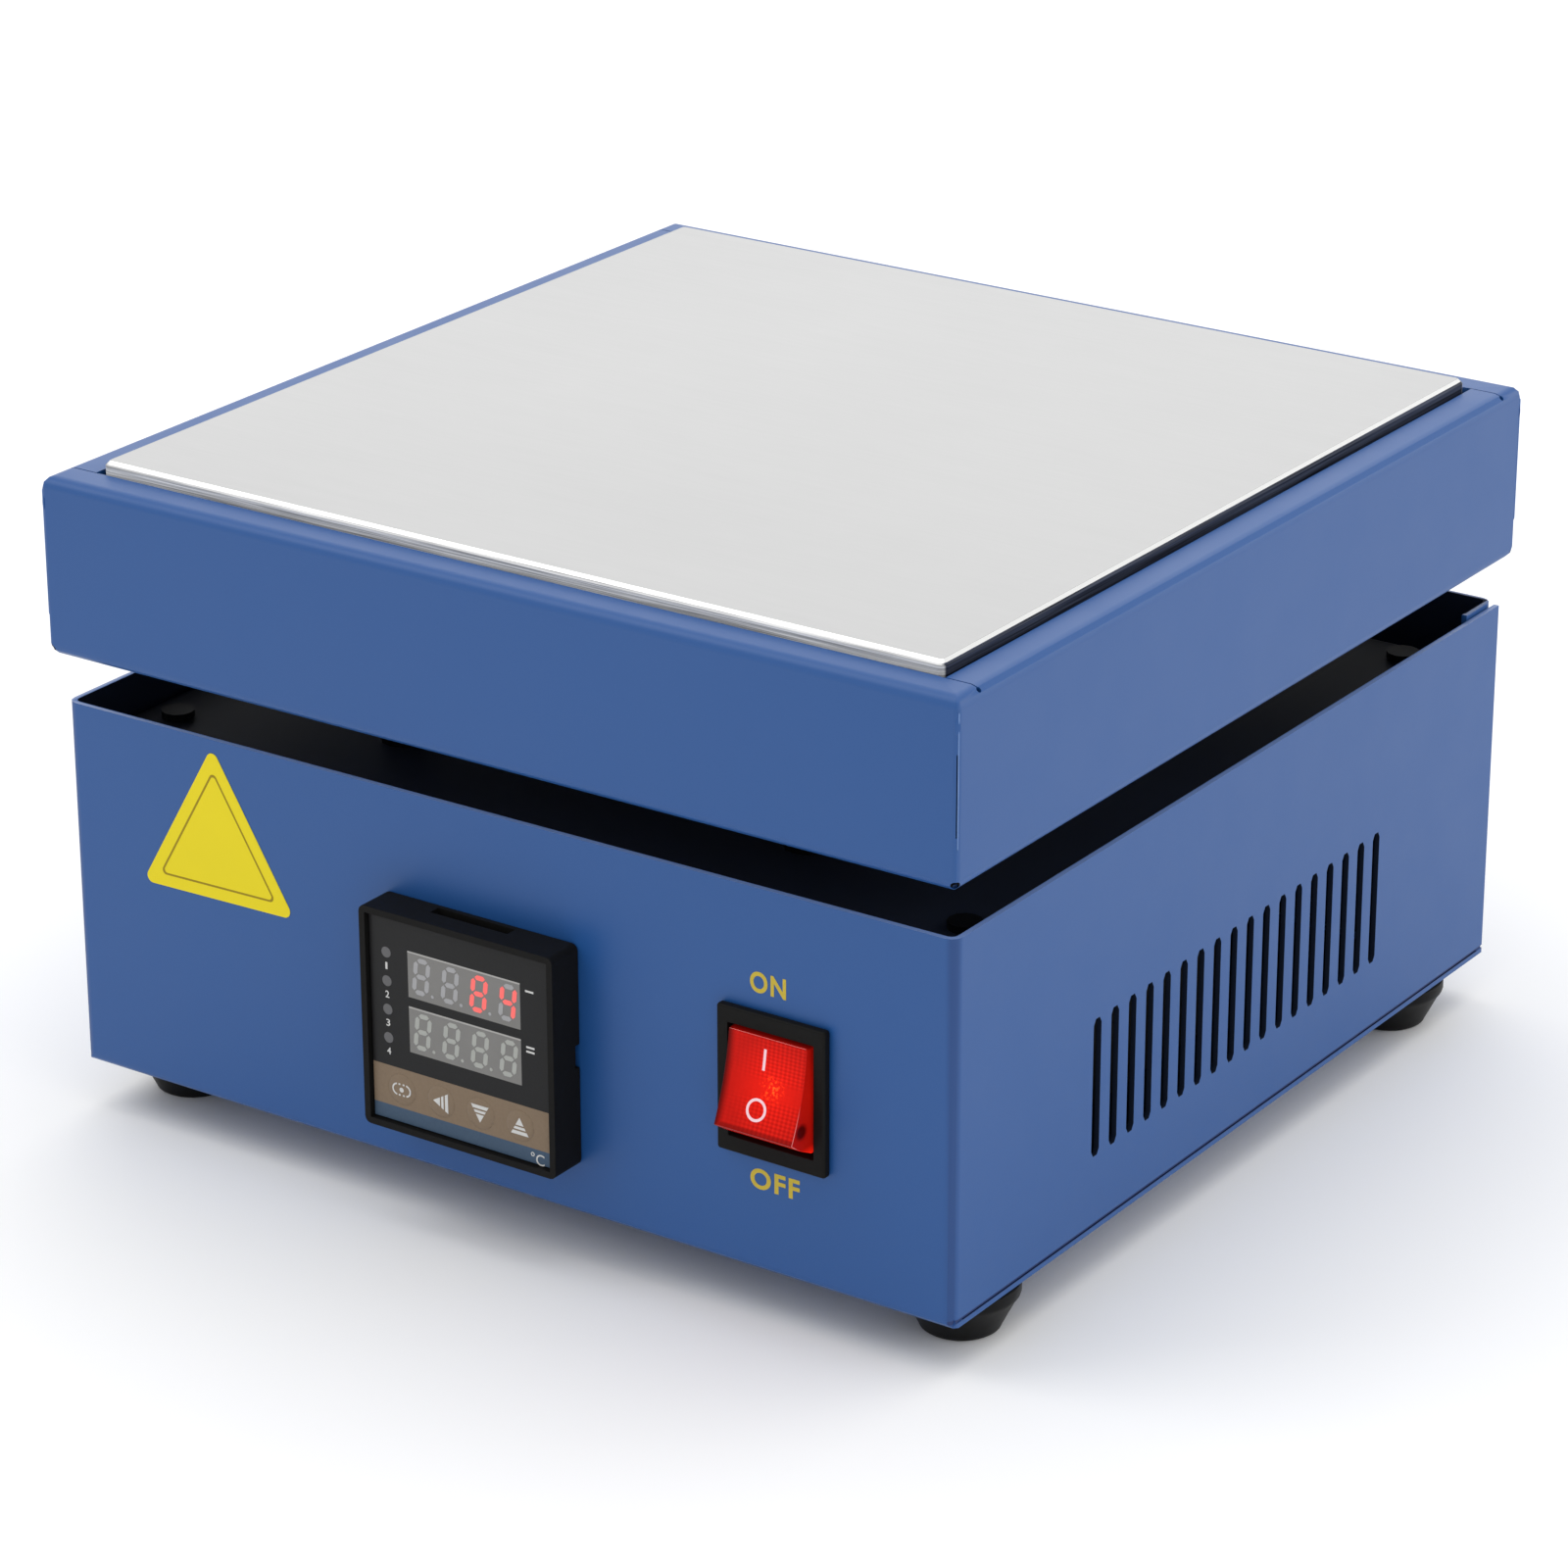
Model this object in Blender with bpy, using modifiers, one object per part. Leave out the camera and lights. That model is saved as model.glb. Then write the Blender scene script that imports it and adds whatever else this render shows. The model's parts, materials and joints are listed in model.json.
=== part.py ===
"""Bench preheater for circuit boards.

A heated aluminium plate sits in a folded steel tray, which stands on posts over
a ventilated control housing. Metres, +Z up, the front faces -Y, the origin is
at the bottom centre of the whole object.
"""

import math

import bmesh
import bpy
from mathutils import Matrix, Vector

# Driving dimensions of the housings
CLEARANCE = 0.0003          # gap between pieces that seat on each other
SHEET = 0.0012              # steel sheet of the tray and the housings
BEND = 0.0025               # outer radius of a folded edge
TRAY_WIDTH = 0.220
TRAY_DEPTH = 0.220
TRAY_HEIGHT = 0.0384
TRAY_FLANGE = 0.008         # flange folded in round the plate
TRAY_CORNER = 0.0012        # rounding of the tray's upright corners
AIR_GAP = 0.0106            # open gap between tray and control housing
HOUSING_INSET_X = 0.00165   # control housing inside the tray's sides
HOUSING_INSET_Y = 0.00255   # control housing inside the tray's front and back
HOUSING_HEIGHT = 0.0813
SHIELD_DROP = 0.008         # heat shield below the housing's top edge
SHIELD_SHEET = 0.001
SHIELD_FLANGE = 0.005
REAR_FLANGE = 0.012         # flanges folded forward on the rear panel
REAR_RISE = 0.001           # rear panel above the housing's sides
BASE_SEAM = 0.0006          # seam between the sides and the base
CORNER_SEAM = 0.0003        # open seams of the tray's corners
CORNER_SEAM_DROP = 0.011    # upper end of an upright seam below the tray's top
RELIEF_RADIUS = 0.0006      # holes where two folds meet

# Driving dimensions of the hot stack
PLATE_GAP = 0.001           # dark gap between plate and tray flange
PLATE_THICKNESS = 0.015
PLATE_PROUD = 0.0025        # plate above the tray flange
PLATE_CORNER = 0.0015
PLATE_CHAMFER = 0.0010
HEATER_RADIUS = 0.004
HEATER_BLIND = 0.019        # plate left in front of a heater's end
HEATER_COUNT = 4
HEATER_PITCH = 0.050
HEATER_END = 0.003          # ceramic end standing out of the plate
PROBE_RADIUS = 0.002
PROBE_DEPTH = 0.060
PROBE_X = 0.003

# Driving dimensions of the feet, posts and screws
FOOT_HEIGHT = 0.0105
FOOT_LIP = 0.0045           # straight rim at the top of a foot
FOOT_TOP_RADIUS = 0.0119
FOOT_BOTTOM_RADIUS = 0.0084
FOOT_ROUNDING = 0.0013
FOOT_RECESS_RADIUS = 0.0046
FOOT_RECESS_DEPTH = 0.0042
FOOT_INSET_X = 0.0115       # foot axis inside the housing's side
FOOT_INSET_Y = 0.0212       # foot axis inside the housing's front or back
SCREW_RADIUS = 0.002
SCREW_HEAD_RADIUS = 0.0038
SCREW_HEAD_HEIGHT = 0.0024
SCREW_BITE = 0.014          # screw length inside a lower post
POST_RADIUS = 0.005
POST_NECK_RADIUS = 0.004
POST_STUD = 0.008           # stud length inside the plate
POST_INSET = 0.031          # post axis inside the plate's front or back
RIVET_RADIUS = 0.002
RIVET_HEAD_RADIUS = 0.0035
RIVET_HEAD_HEIGHT = 0.0015
SMALL_SCREW_RADIUS = 0.0015
SMALL_HEAD_RADIUS = 0.0029
SMALL_HEAD_HEIGHT = 0.0018
REAR_SCREW_COUNT = 3
REAR_SCREW_PITCH = 0.070

# Driving dimensions of the ventilation slots
SLOT_COUNT = 18
SLOT_PITCH = 0.00658
SLOT_WIDTH = 0.0028
SLOT_LENGTH = 0.030
SLOT_BOTTOM = 0.0164        # lower end of a slot above the housing's base

# Driving dimensions of the temperature controller
CONTROLLER_X = -0.0022
CONTROLLER_RISE = 0.00065   # its centre above the middle of the free panel height
CONTROLLER_PROUD = 0.0088
BEZEL_SIDE = 0.0476
BEZEL_CORNER = 0.0014
CASE_SIDE = 0.0444
CASE_WALL = 0.0015
CASE_DEPTH = 0.068          # case behind the panel's outer face
OVERLAY_SIDE = 0.0441
OVERLAY_THICKNESS = 0.0006
OVERLAY_RECESS = 0.0011     # overlay behind the bezel's rim
CASE_FRONT_WALL = 0.0015
WINDOW_X = 0.00125
WINDOW_WIDTH = 0.0277
UPPER_WINDOW_Z = 0.0111
LOWER_WINDOW_Z = -0.0009
WINDOW_HEIGHT = 0.0100
DISPLAY_RIM = 0.001
DISPLAY_DEPTH = 0.0055
BOARD_THICKNESS = 0.0016
KEY_RADIUS = 0.0031
KEY_FLANGE_RADIUS = 0.0040
KEY_FLANGE_THICKNESS = 0.0008
KEY_STEM_RADIUS = 0.0015
KEY_STEM = 0.0012
KEY_TRAVEL = 0.0004
KEY_PROUD = 0.00015
KEY_PITCH = 0.0098
KEY_Z = -0.0148
KEY_FIRST_X = -0.0149
GRIP_WIDTH = 0.019          # notches in the bezel's edge for the clamp
GRIP_HEIGHT = 0.0026
GRIP_DEPTH = 0.0015
GRIP_SETBACK = 0.0027       # middle of a notch in front of the panel
SIDE_NOTCH_HEIGHT = 0.005   # notches open at the rear of the bezel's sides
SIDE_NOTCH_DEPTH = 0.0014
CLAMP_SIDE = 0.050
CLAMP_LENGTH = 0.009
TERMINAL_BLOCK_DEPTH = 0.008
TERMINAL_PLUG = 0.004
TERMINAL_COLUMN = 0.0145    # screw terminals either side of the controller's centre
TERMINAL_PITCH = 0.0082
TERMINAL_ROWS = 5
TERMINAL_WELL_RADIUS = 0.0028
TERMINAL_WELL_DEPTH = 0.003
PUSH_SWITCH_SIDE = 0.006

# Driving dimensions of the rocker switch
SWITCH_INSET = 0.0403       # its centre inside the housing's right side
SWITCH_RISE = 0.00605
SWITCH_BEZEL_WIDTH = 0.0251
SWITCH_BEZEL_HEIGHT = 0.0308
SWITCH_BEZEL_PROUD = 0.0020
SWITCH_BEZEL_CORNER = 0.0006
SWITCH_BEZEL_BEVEL = 0.0005
SWITCH_BODY_WIDTH = 0.0222
SWITCH_BODY_HEIGHT = 0.0276
SWITCH_BODY_DEPTH = 0.020
SWITCH_WELL_WIDTH = 0.0198
SWITCH_WELL_HEIGHT = 0.0239
SWITCH_WELL_DEPTH = 0.013
ROCKER_TILT = 16.0          # degrees either side of the middle
ROCKER_PIVOT = 0.0022       # pivot behind the panel's outer face
ROCKER_TIP_OUT = 0.0080     # tip in front of the pivot
ROCKER_TIP_UP = 0.0096      # tip above the pivot
ROCKER_SAG = 0.0009         # hollow of the rocker's face
ROCKER_DRAFT = 0.0006       # each side narrows this much to the front
ROCKER_PIN_RADIUS = 0.0015
ROCKER_SHOULDER = 0.0010    # ends of the rocker's sides in front of the pivot
ROCKER_ROOT_DEPTH = 0.0035  # blunt back of the rocker behind the pivot
ROCKER_ROOT_UP = 0.0030
BARB_HEIGHT = 0.0009
BARB_WIDTH = 0.006
LUG_WIDTH = 0.0063
LUG_THICKNESS = 0.0008
LUG_LENGTH = 0.009

# Driving dimensions of the mains inlet
INLET_INSET = 0.05335       # its centre inside the housing's right side
INLET_RISE = 0.00525
INLET_FLANGE_WIDTH = 0.050
INLET_FLANGE_HEIGHT = 0.034
INLET_FLANGE_THICKNESS = 0.0021
INLET_BODY_WIDTH = 0.0275
INLET_BODY_HEIGHT = 0.0305
INLET_BODY_DEPTH = 0.024
INLET_SCREW_SPACING = 0.040
SOCKET_WIDTH = 0.0243
SOCKET_HEIGHT = 0.0168
SOCKET_CORNER = 0.004
SOCKET_DEPTH = 0.0175
SOCKET_LIFT = 0.0048        # socket centre above the inlet's centre
PIN_SPACING = 0.014
PIN_RISE = 0.004            # earth pin above the other two
PIN_THICKNESS = 0.002
PIN_HEIGHT = 0.004
PIN_SETBACK = 0.0035        # pin tip behind the inlet's face
PIN_TAIL = 0.006
DRAWER_LIFT = -0.0091
DRAWER_WIDTH = 0.0230
DRAWER_HEIGHT = 0.0076
DRAWER_DEPTH = 0.020
DRAWER_FRONT = 0.003
DRAWER_WALL = 0.001
DRAWER_GRIP_WIDTH = 0.008
DRAWER_GRIP_HEIGHT = 0.0025
DRAWER_GRIP_DEPTH = 0.0012
FUSE_RADIUS = 0.0025
FUSE_LENGTH = 0.019
FUSE_CAP = 0.005
FUSE_NECK = 0.0002          # glass inside the caps' radius

# Driving dimensions of the inner electrics
RELAY_SIZE = (0.044, 0.058, 0.022)
RELAY_INSET = 0.05035       # its centre inside the housing's right side
RELAY_Y = 0.012
RELAY_EAR = 0.005           # ear height and half of the ear's length
RELAY_SCREW_SPACING = 0.048
RELAY_WELL_RADIUS = 0.0045
RELAY_WELL_DEPTH = 0.004
RELAY_WELL_X = 0.014        # wells either side of the relay's middle
RELAY_WELL_Y = 0.020
HEATER_BLOCK_SIZE = (0.050, 0.020, 0.018)
HEATER_BLOCK_X = -0.035
HEATER_BLOCK_INSET = 0.04145    # its centre in front of the rear panel
HEATER_BLOCK_WAYS = 3
BLOCK_WELL_RADIUS = 0.003
BLOCK_WELL_DEPTH = 0.006
LOOM_RADIUS = 0.0015
WIRE_RADIUS = 0.0011
PROBE_WIRE_RADIUS = 0.0008
GROMMET_INSET_X = 0.022     # its axis inside the tray's left side
GROMMET_INSET_Y = 0.018     # its axis inside the tray's back
GROMMET_BORE = 0.0033
GROMMET_NECK = 0.0052
GROMMET_LIP = 0.0066
GROMMET_LIP_HEIGHT = 0.0012
SHIELD_HOLE_RADIUS = 0.005
LOOM_OFFSET = -0.0008       # loom and probe wire side by side in the grommet
PROBE_WIRE_OFFSET = 0.0020
SIDE_RUN_INSET = 0.018      # mains wire inside the housing's right side
SIDE_RUN_DROP = 0.016       # mains wire under the heat shield

# Facets of round forms, and the angle from which an edge is sharp
FINE = 24
MEDIUM = 16
COARSE = 12
SHARP_ANGLE = 35.0

# Sizes and levels that follow from the driving dimensions
HOUSING_WIDTH = TRAY_WIDTH - 2 * HOUSING_INSET_X
HOUSING_DEPTH = TRAY_DEPTH - 2 * HOUSING_INSET_Y
PLATE_WIDTH = TRAY_WIDTH - 2 * (TRAY_FLANGE + PLATE_GAP)
PLATE_DEPTH = TRAY_DEPTH - 2 * (TRAY_FLANGE + PLATE_GAP)
BASE_Z = FOOT_HEIGHT
FLOOR_Z = BASE_Z + SHEET
HOUSING_TOP_Z = BASE_Z + HOUSING_HEIGHT
TRAY_Z = HOUSING_TOP_Z + AIR_GAP
TRAY_TOP_Z = TRAY_Z + TRAY_HEIGHT
PLATE_TOP_Z = TRAY_TOP_Z + PLATE_PROUD
PLATE_Z = PLATE_TOP_Z - PLATE_THICKNESS
HEATER_Z = PLATE_Z + PLATE_THICKNESS / 2
HEATER_LENGTH = PLATE_DEPTH + HEATER_END - HEATER_BLIND
POST_X = HEATER_PITCH       # midway between two heaters
POST_Y = PLATE_DEPTH / 2 - POST_INSET
SHIELD_TOP_Z = HOUSING_TOP_Z - SHIELD_DROP
SHIELD_Z = SHIELD_TOP_Z - SHIELD_SHEET
PANEL_FRONT_Y = -HOUSING_DEPTH / 2
PANEL_REAR_Y = HOUSING_DEPTH / 2
PLATE_REAR_Y = PLATE_DEPTH / 2
PANEL_MIDDLE_Z = (FLOOR_Z + SHIELD_TOP_Z - SHIELD_FLANGE) / 2
CONTROLLER_Z = PANEL_MIDDLE_Z + CONTROLLER_RISE
SWITCH_X = HOUSING_WIDTH / 2 - SWITCH_INSET
SWITCH_Z = PANEL_MIDDLE_Z + SWITCH_RISE
INLET_X = HOUSING_WIDTH / 2 - INLET_INSET
INLET_Z = PANEL_MIDDLE_Z + INLET_RISE
RELAY_X = HOUSING_WIDTH / 2 - RELAY_INSET
HEATER_BLOCK_Y = PANEL_REAR_Y - HEATER_BLOCK_INSET
GROMMET_X = GROMMET_INSET_X - TRAY_WIDTH / 2
GROMMET_Y = TRAY_DEPTH / 2 - GROMMET_INSET_Y
FOOT_X = HOUSING_WIDTH / 2 - FOOT_INSET_X
FOOT_Y = HOUSING_DEPTH / 2 - FOOT_INSET_Y
SCREW_HOLE = SCREW_RADIUS + CLEARANCE
SMALL_SCREW_HOLE = SMALL_SCREW_RADIUS + CLEARANCE
BODY_SHIFT_Y = (CONTROLLER_PROUD - HOUSING_INSET_Y) / 2
CORNERS = [(-1, -1), (1, -1), (-1, 1), (1, 1)]
PAST = 0.001                # how far a cutter runs past what it cuts

# Colour, roughness and metallic value of each finish
FINISHES = {
    "blue_paint": ((0.053, 0.125, 0.320), 0.42, 0.0),
    "dark_paint": ((0.012, 0.013, 0.016), 0.60, 0.0),
    "plate_alloy": ((0.720, 0.720, 0.725), 0.34, 1.0),
    "bright_steel": ((0.560, 0.560, 0.570), 0.30, 1.0),
    "black_steel": ((0.020, 0.020, 0.022), 0.45, 1.0),
    "black_plastic": ((0.012, 0.012, 0.013), 0.45, 0.0),
    "overlay_film": ((0.030, 0.030, 0.031), 0.35, 0.0),
    "key_film": ((0.200, 0.150, 0.115), 0.40, 0.0),
    "display_face": ((0.220, 0.225, 0.240), 0.30, 0.0),
    "circuit_board": ((0.020, 0.120, 0.050), 0.50, 0.0),
    "red_plastic": ((0.600, 0.012, 0.008), 0.20, 0.0),
    "rubber": ((0.014, 0.014, 0.014), 0.75, 0.0),
    "ceramic": ((0.780, 0.740, 0.660), 0.60, 0.0),
    "wool": ((0.620, 0.600, 0.550), 0.95, 0.0),
    "relay_case": ((0.650, 0.640, 0.600), 0.45, 0.0),
    "brass": ((0.700, 0.500, 0.220), 0.30, 1.0),
    "glass": ((0.700, 0.720, 0.720), 0.10, 0.0),
    "black_wire": ((0.015, 0.015, 0.015), 0.50, 0.0),
    "red_wire": ((0.450, 0.020, 0.015), 0.50, 0.0),
    "blue_wire": ((0.020, 0.060, 0.350), 0.50, 0.0),
    "sleeve": ((0.060, 0.058, 0.055), 0.90, 0.0),
}

for old in list(bpy.data.objects):
    bpy.data.objects.remove(old, do_unlink=True)

PARTS = bpy.data.collections.new("pcb_preheater")
CUTTERS = bpy.data.collections.new("cutters")
bpy.context.scene.collection.children.link(PARTS)
bpy.context.scene.collection.children.link(CUTTERS)


# Helpers: places and finishes

def empty(name, at, parent=None, tilt=0.0):
    """An empty that carries pieces at a place, tilted about X by some degrees."""
    holder = bpy.data.objects.new(name, None)
    holder.location = at
    holder.rotation_euler = (math.radians(tilt), 0.0, 0.0)
    holder.parent = parent
    PARTS.objects.link(holder)
    return holder


def piece(shape, finish, parent):
    """Make a shape a sub-part of the object, with its own material."""
    colour, roughness, metallic = FINISHES[finish]
    material = bpy.data.materials.new(shape.name + "_" + finish)
    material.use_nodes = True
    shader = material.node_tree.nodes["Principled BSDF"]
    shader.inputs["Base Color"].default_value = (*colour, 1.0)
    shader.inputs["Roughness"].default_value = roughness
    shader.inputs["Metallic"].default_value = metallic
    shape.data.materials.append(material)
    shape.parent = parent
    PARTS.objects.link(shape)
    return shape


def combine(target, tool, operation):
    """Boolean a tool with a target; the tool shares the target's parent."""
    tool.parent = target.parent
    tool.hide_render = True
    tool.display_type = "WIRE"
    CUTTERS.objects.link(tool)
    modifier = target.modifiers.new(tool.name, "BOOLEAN")
    modifier.operation = operation
    modifier.solver = "EXACT"
    modifier.object = tool


def cut(target, *tools):
    for tool in tools:
        combine(target, tool, "DIFFERENCE")


def fuse(target, *tools):
    for tool in tools:
        combine(target, tool, "UNION")


# Helpers: shapes

def mesh_object(name, bm, at=(0.0, 0.0, 0.0), smooth=False):
    bmesh.ops.recalc_face_normals(bm, faces=bm.faces)
    mesh = bpy.data.meshes.new(name)
    bm.to_mesh(mesh)
    bm.free()
    if smooth:
        mesh.shade_smooth()
        mesh.set_sharp_from_angle(angle=math.radians(SHARP_ANGLE))
    shape = bpy.data.objects.new(name, mesh)
    shape.location = at
    return shape


def edges_along(bm, axis):
    """Edges that run along X, Y or Z."""
    index = "XYZ".index(axis)
    chosen = []
    for edge in bm.edges:
        run = edge.verts[1].co - edge.verts[0].co
        if abs(run[index]) > 0.999 * run.length:
            chosen.append(edge)
    return chosen


def edges_at(bm, axis, level):
    """Edges that lie in the plane across an axis at a level."""
    index = "XYZ".index(axis)
    near = 1e-6
    return [e for e in bm.edges if all(abs(v.co[index] - level) < near for v in e.verts)]


def soften(bm, edges, width, segments=2):
    bmesh.ops.bevel(bm, geom=list(edges), offset=width, offset_type="OFFSET",
                    segments=segments, profile=0.5, affect="EDGES")


def cuboid(size):
    bm = bmesh.new()
    bmesh.ops.create_cube(bm, size=1.0, matrix=Matrix.Diagonal((*size, 1.0)))
    return bm


def block(name, size, at=(0.0, 0.0, 0.0), along="", radius=0.0, segments=2):
    """A box; the edges that run along the named axes are rounded."""
    bm = cuboid(size)
    chosen = [edge for axis in along for edge in edges_along(bm, axis)]
    if chosen:
        soften(bm, chosen, radius, segments)
    return mesh_object(name, bm, at)


def span(name, low, high, along="", radius=0.0, segments=2):
    """A box between two corners."""
    low, high = Vector(low), Vector(high)
    return block(name, high - low, (low + high) / 2, along, radius, segments)


def turn_to(axis):
    """Rotation that lays a shape made along +Z along another axis."""
    if axis == "X":
        return Matrix.Rotation(math.pi / 2, 4, "Y")
    if axis == "Y":
        return Matrix.Rotation(-math.pi / 2, 4, "X")
    return Matrix.Identity(4)


def rods(name, radius, length, places, axis="Z", sides=COARSE):
    """One object of equal cylinders, each centred on its place."""
    bm = bmesh.new()
    for place in places:
        matrix = Matrix.Translation(place) @ turn_to(axis)
        bmesh.ops.create_cone(bm, cap_ends=True, segments=sides, radius1=radius,
                              radius2=radius, depth=length, matrix=matrix)
    return mesh_object(name, bm, smooth=True)


def turned(name, profile, at=(0.0, 0.0, 0.0), axis="Z", steps=MEDIUM, ring=False):
    """A turned shape: a profile of (radius, height), outer side first and downwards.

    A ring's profile is a closed loop; any other starts and ends on the axis.
    """
    bm = bmesh.new()
    verts = [bm.verts.new((radius, 0.0, height)) for radius, height in profile]
    pairs = list(zip(verts, verts[1:]))
    if ring:
        pairs.append((verts[-1], verts[0]))
    for pair in pairs:
        bm.edges.new(pair)
    mesh = bpy.data.meshes.new(name)
    bm.to_mesh(mesh)
    bm.free()
    shape = bpy.data.objects.new(name, mesh)
    shape.location = at
    shape.rotation_euler = turn_to(axis).to_euler()
    screw = shape.modifiers.new("turn", "SCREW")
    screw.steps = steps
    screw.render_steps = steps
    screw.use_merge_vertices = True
    screw.merge_threshold = 0.00001
    screw.use_smooth_shade = True
    return shape


def arc(centre, radius, start, end, segments):
    """Points of a round stretch, angles in degrees."""
    points = []
    for step in range(segments + 1):
        angle = math.radians(start + (end - start) * step / segments)
        points.append((centre[0] + radius * math.cos(angle), centre[1] + radius * math.sin(angle)))
    return points


def rounded_rectangle(width, depth, radius, segments=2):
    points = []
    for turn, (side_x, side_y) in enumerate([(1, 1), (-1, 1), (-1, -1), (1, -1)]):
        centre = (side_x * (width / 2 - radius), side_y * (depth / 2 - radius))
        points += arc(centre, radius, 90 * turn, 90 * turn + 90, segments)
    return points


def stadium(width, length, segments=3):
    """Upright slot outline with round ends, about its centre."""
    reach = (length - width) / 2
    upper = arc((0.0, reach), width / 2, 0, 180, segments)
    lower = arc((0.0, -reach), width / 2, 180, 360, segments)
    return upper + lower


def extruded(name, outlines, depth, at=(0.0, 0.0, 0.0), axis="Y"):
    """Flat outlines drawn out along an axis, centred on it."""
    bm = bmesh.new()
    half = Vector([depth / 2 if letter == axis else 0.0 for letter in "XYZ"])
    for outline in outlines:
        verts = []
        for first, second in outline:
            flat = {"X": (0, first, second), "Y": (first, 0, second), "Z": (first, second, 0)}
            verts.append(bm.verts.new(Vector(flat[axis]) - half))
        face = bm.faces.new(verts)
        drawn = bmesh.ops.extrude_face_region(bm, geom=[face])
        moved = [item for item in drawn["geom"] if isinstance(item, bmesh.types.BMVert)]
        bmesh.ops.translate(bm, vec=2 * half, verts=moved)
    return mesh_object(name, bm, at)


def lofted(name, sections):
    """A closed skin over level outlines with equal point counts."""
    bm = bmesh.new()
    rings = []
    for outline, height in sections:
        rings.append([bm.verts.new((x, y, height)) for x, y in outline])
    for lower, upper in zip(rings, rings[1:]):
        for here in range(len(lower)):
            after = (here + 1) % len(lower)
            bm.faces.new((lower[here], lower[after], upper[after], upper[here]))
    bm.faces.new(rings[0])
    bm.faces.new(rings[-1])
    return mesh_object(name, bm)


def folded_sheet(name, size, at, open_sides, bent_edges, thickness, radius=BEND):
    """A box of bent sheet: some sides are left out, some edges are round bends.

    Sides and edges are given by their direction from the middle, such as
    (0, 0, 1) for the top and (0, -1, -1) for the lower front edge.
    """
    bm = cuboid(size)
    gone = []
    for face in bm.faces:
        if any((face.normal - Vector(side)).length < 0.1 for side in open_sides):
            gone.append(face)
    bmesh.ops.delete(bm, geom=gone, context="FACES")
    bends = []
    for edge in bm.edges:
        middle = (edge.verts[0].co + edge.verts[1].co) / 2
        place = [round(2 * middle[i] / size[i]) for i in range(3)]
        if tuple(place) in bent_edges:
            bends.append(edge)
    soften(bm, bends, radius, 3)
    shape = mesh_object(name, bm, at)
    shell = shape.modifiers.new("sheet", "SOLIDIFY")
    shell.thickness = thickness
    shell.offset = -1.0
    shell.use_even_offset = True
    shell.use_quality_normals = True
    return shape


def smooth_route(stops, per_span=4):
    """Points of a smooth curve through a wire's stops."""
    stops = [Vector(stop) for stop in stops]
    ends = [2 * stops[0] - stops[1]] + stops + [2 * stops[-1] - stops[-2]]
    points = []
    for before, start, end, after in zip(ends, ends[1:], ends[2:], ends[3:]):
        for step in range(per_span):
            t = step / per_span
            points.append(0.5 * (2 * start + (end - before) * t
                                 + (2 * before - 5 * start + 4 * end - after) * t ** 2
                                 + (3 * start - before - 3 * end + after) * t ** 3))
    points.append(stops[-1])
    return points


def wire(name, stops, radius, finish, parent, per_span=4):
    curve = bpy.data.curves.new(name, "CURVE")
    curve.dimensions = "3D"
    curve.bevel_depth = radius
    curve.bevel_resolution = 2
    curve.use_fill_caps = True
    points = smooth_route(stops, per_span)
    spline = curve.splines.new("POLY")
    spline.points.add(len(points) - 1)
    for target, point in zip(spline.points, points):
        target.co = (*point, 1.0)
    return piece(bpy.data.objects.new(name, curve), finish, parent)


def screw(name, at, axis, reach, finish, parent, small=False):
    """Pan-head screw; the head's underside is at the place, the head towards -axis."""
    radius = SMALL_SCREW_RADIUS if small else SCREW_RADIUS
    head_radius = SMALL_HEAD_RADIUS if small else SCREW_HEAD_RADIUS
    head_height = SMALL_HEAD_HEIGHT if small else SCREW_HEAD_HEIGHT
    chamfer = radius / 4
    profile = [(0.0, reach), (radius - chamfer, reach), (radius, reach - chamfer), (radius, 0.0),
               (head_radius, 0.0), (head_radius, -head_height / 2),
               (0.7 * head_radius, -head_height), (0.0, -head_height)]
    return piece(turned(name, profile, at, axis, COARSE), finish, parent)


# The hot stack: plate, heaters, probe, wool, tray

def heater_places():
    first = -HEATER_PITCH * (HEATER_COUNT - 1) / 2
    return [first + HEATER_PITCH * index for index in range(HEATER_COUNT)]


def post_places():
    return [(POST_X * side_x, POST_Y * side_y) for side_x, side_y in CORNERS]


def foot_places():
    return [(FOOT_X * side_x, FOOT_Y * side_y) for side_x, side_y in CORNERS]


def build_heating_plate(frame):
    bm = cuboid((PLATE_WIDTH, PLATE_DEPTH, PLATE_THICKNESS))
    soften(bm, edges_along(bm, "Z"), PLATE_CORNER, 3)
    soften(bm, edges_at(bm, "Z", PLATE_THICKNESS / 2), PLATE_CHAMFER, 1)
    plate = piece(mesh_object("heating_plate", bm, (0.0, 0.0, HEATER_Z)), "plate_alloy", frame)
    bore_length = HEATER_LENGTH + CLEARANCE + PAST
    bore_y = PLATE_REAR_Y + PAST - bore_length / 2
    places = [(x, bore_y, HEATER_Z) for x in heater_places()]
    cut(plate, rods("heater_bores", HEATER_RADIUS + CLEARANCE, bore_length, places, "Y"))
    probe_length = PROBE_DEPTH + CLEARANCE + PAST
    probe_y = PLATE_REAR_Y + PAST - probe_length / 2
    cut(plate, rods("probe_bore", PROBE_RADIUS + CLEARANCE, probe_length,
                    [(PROBE_X, probe_y, HEATER_Z)], "Y"))
    stud_length = POST_STUD + CLEARANCE + PAST
    studs = [(x, y, PLATE_Z - PAST + stud_length / 2) for x, y in post_places()]
    cut(plate, rods("stud_holes", SCREW_HOLE, stud_length, studs))


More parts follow.
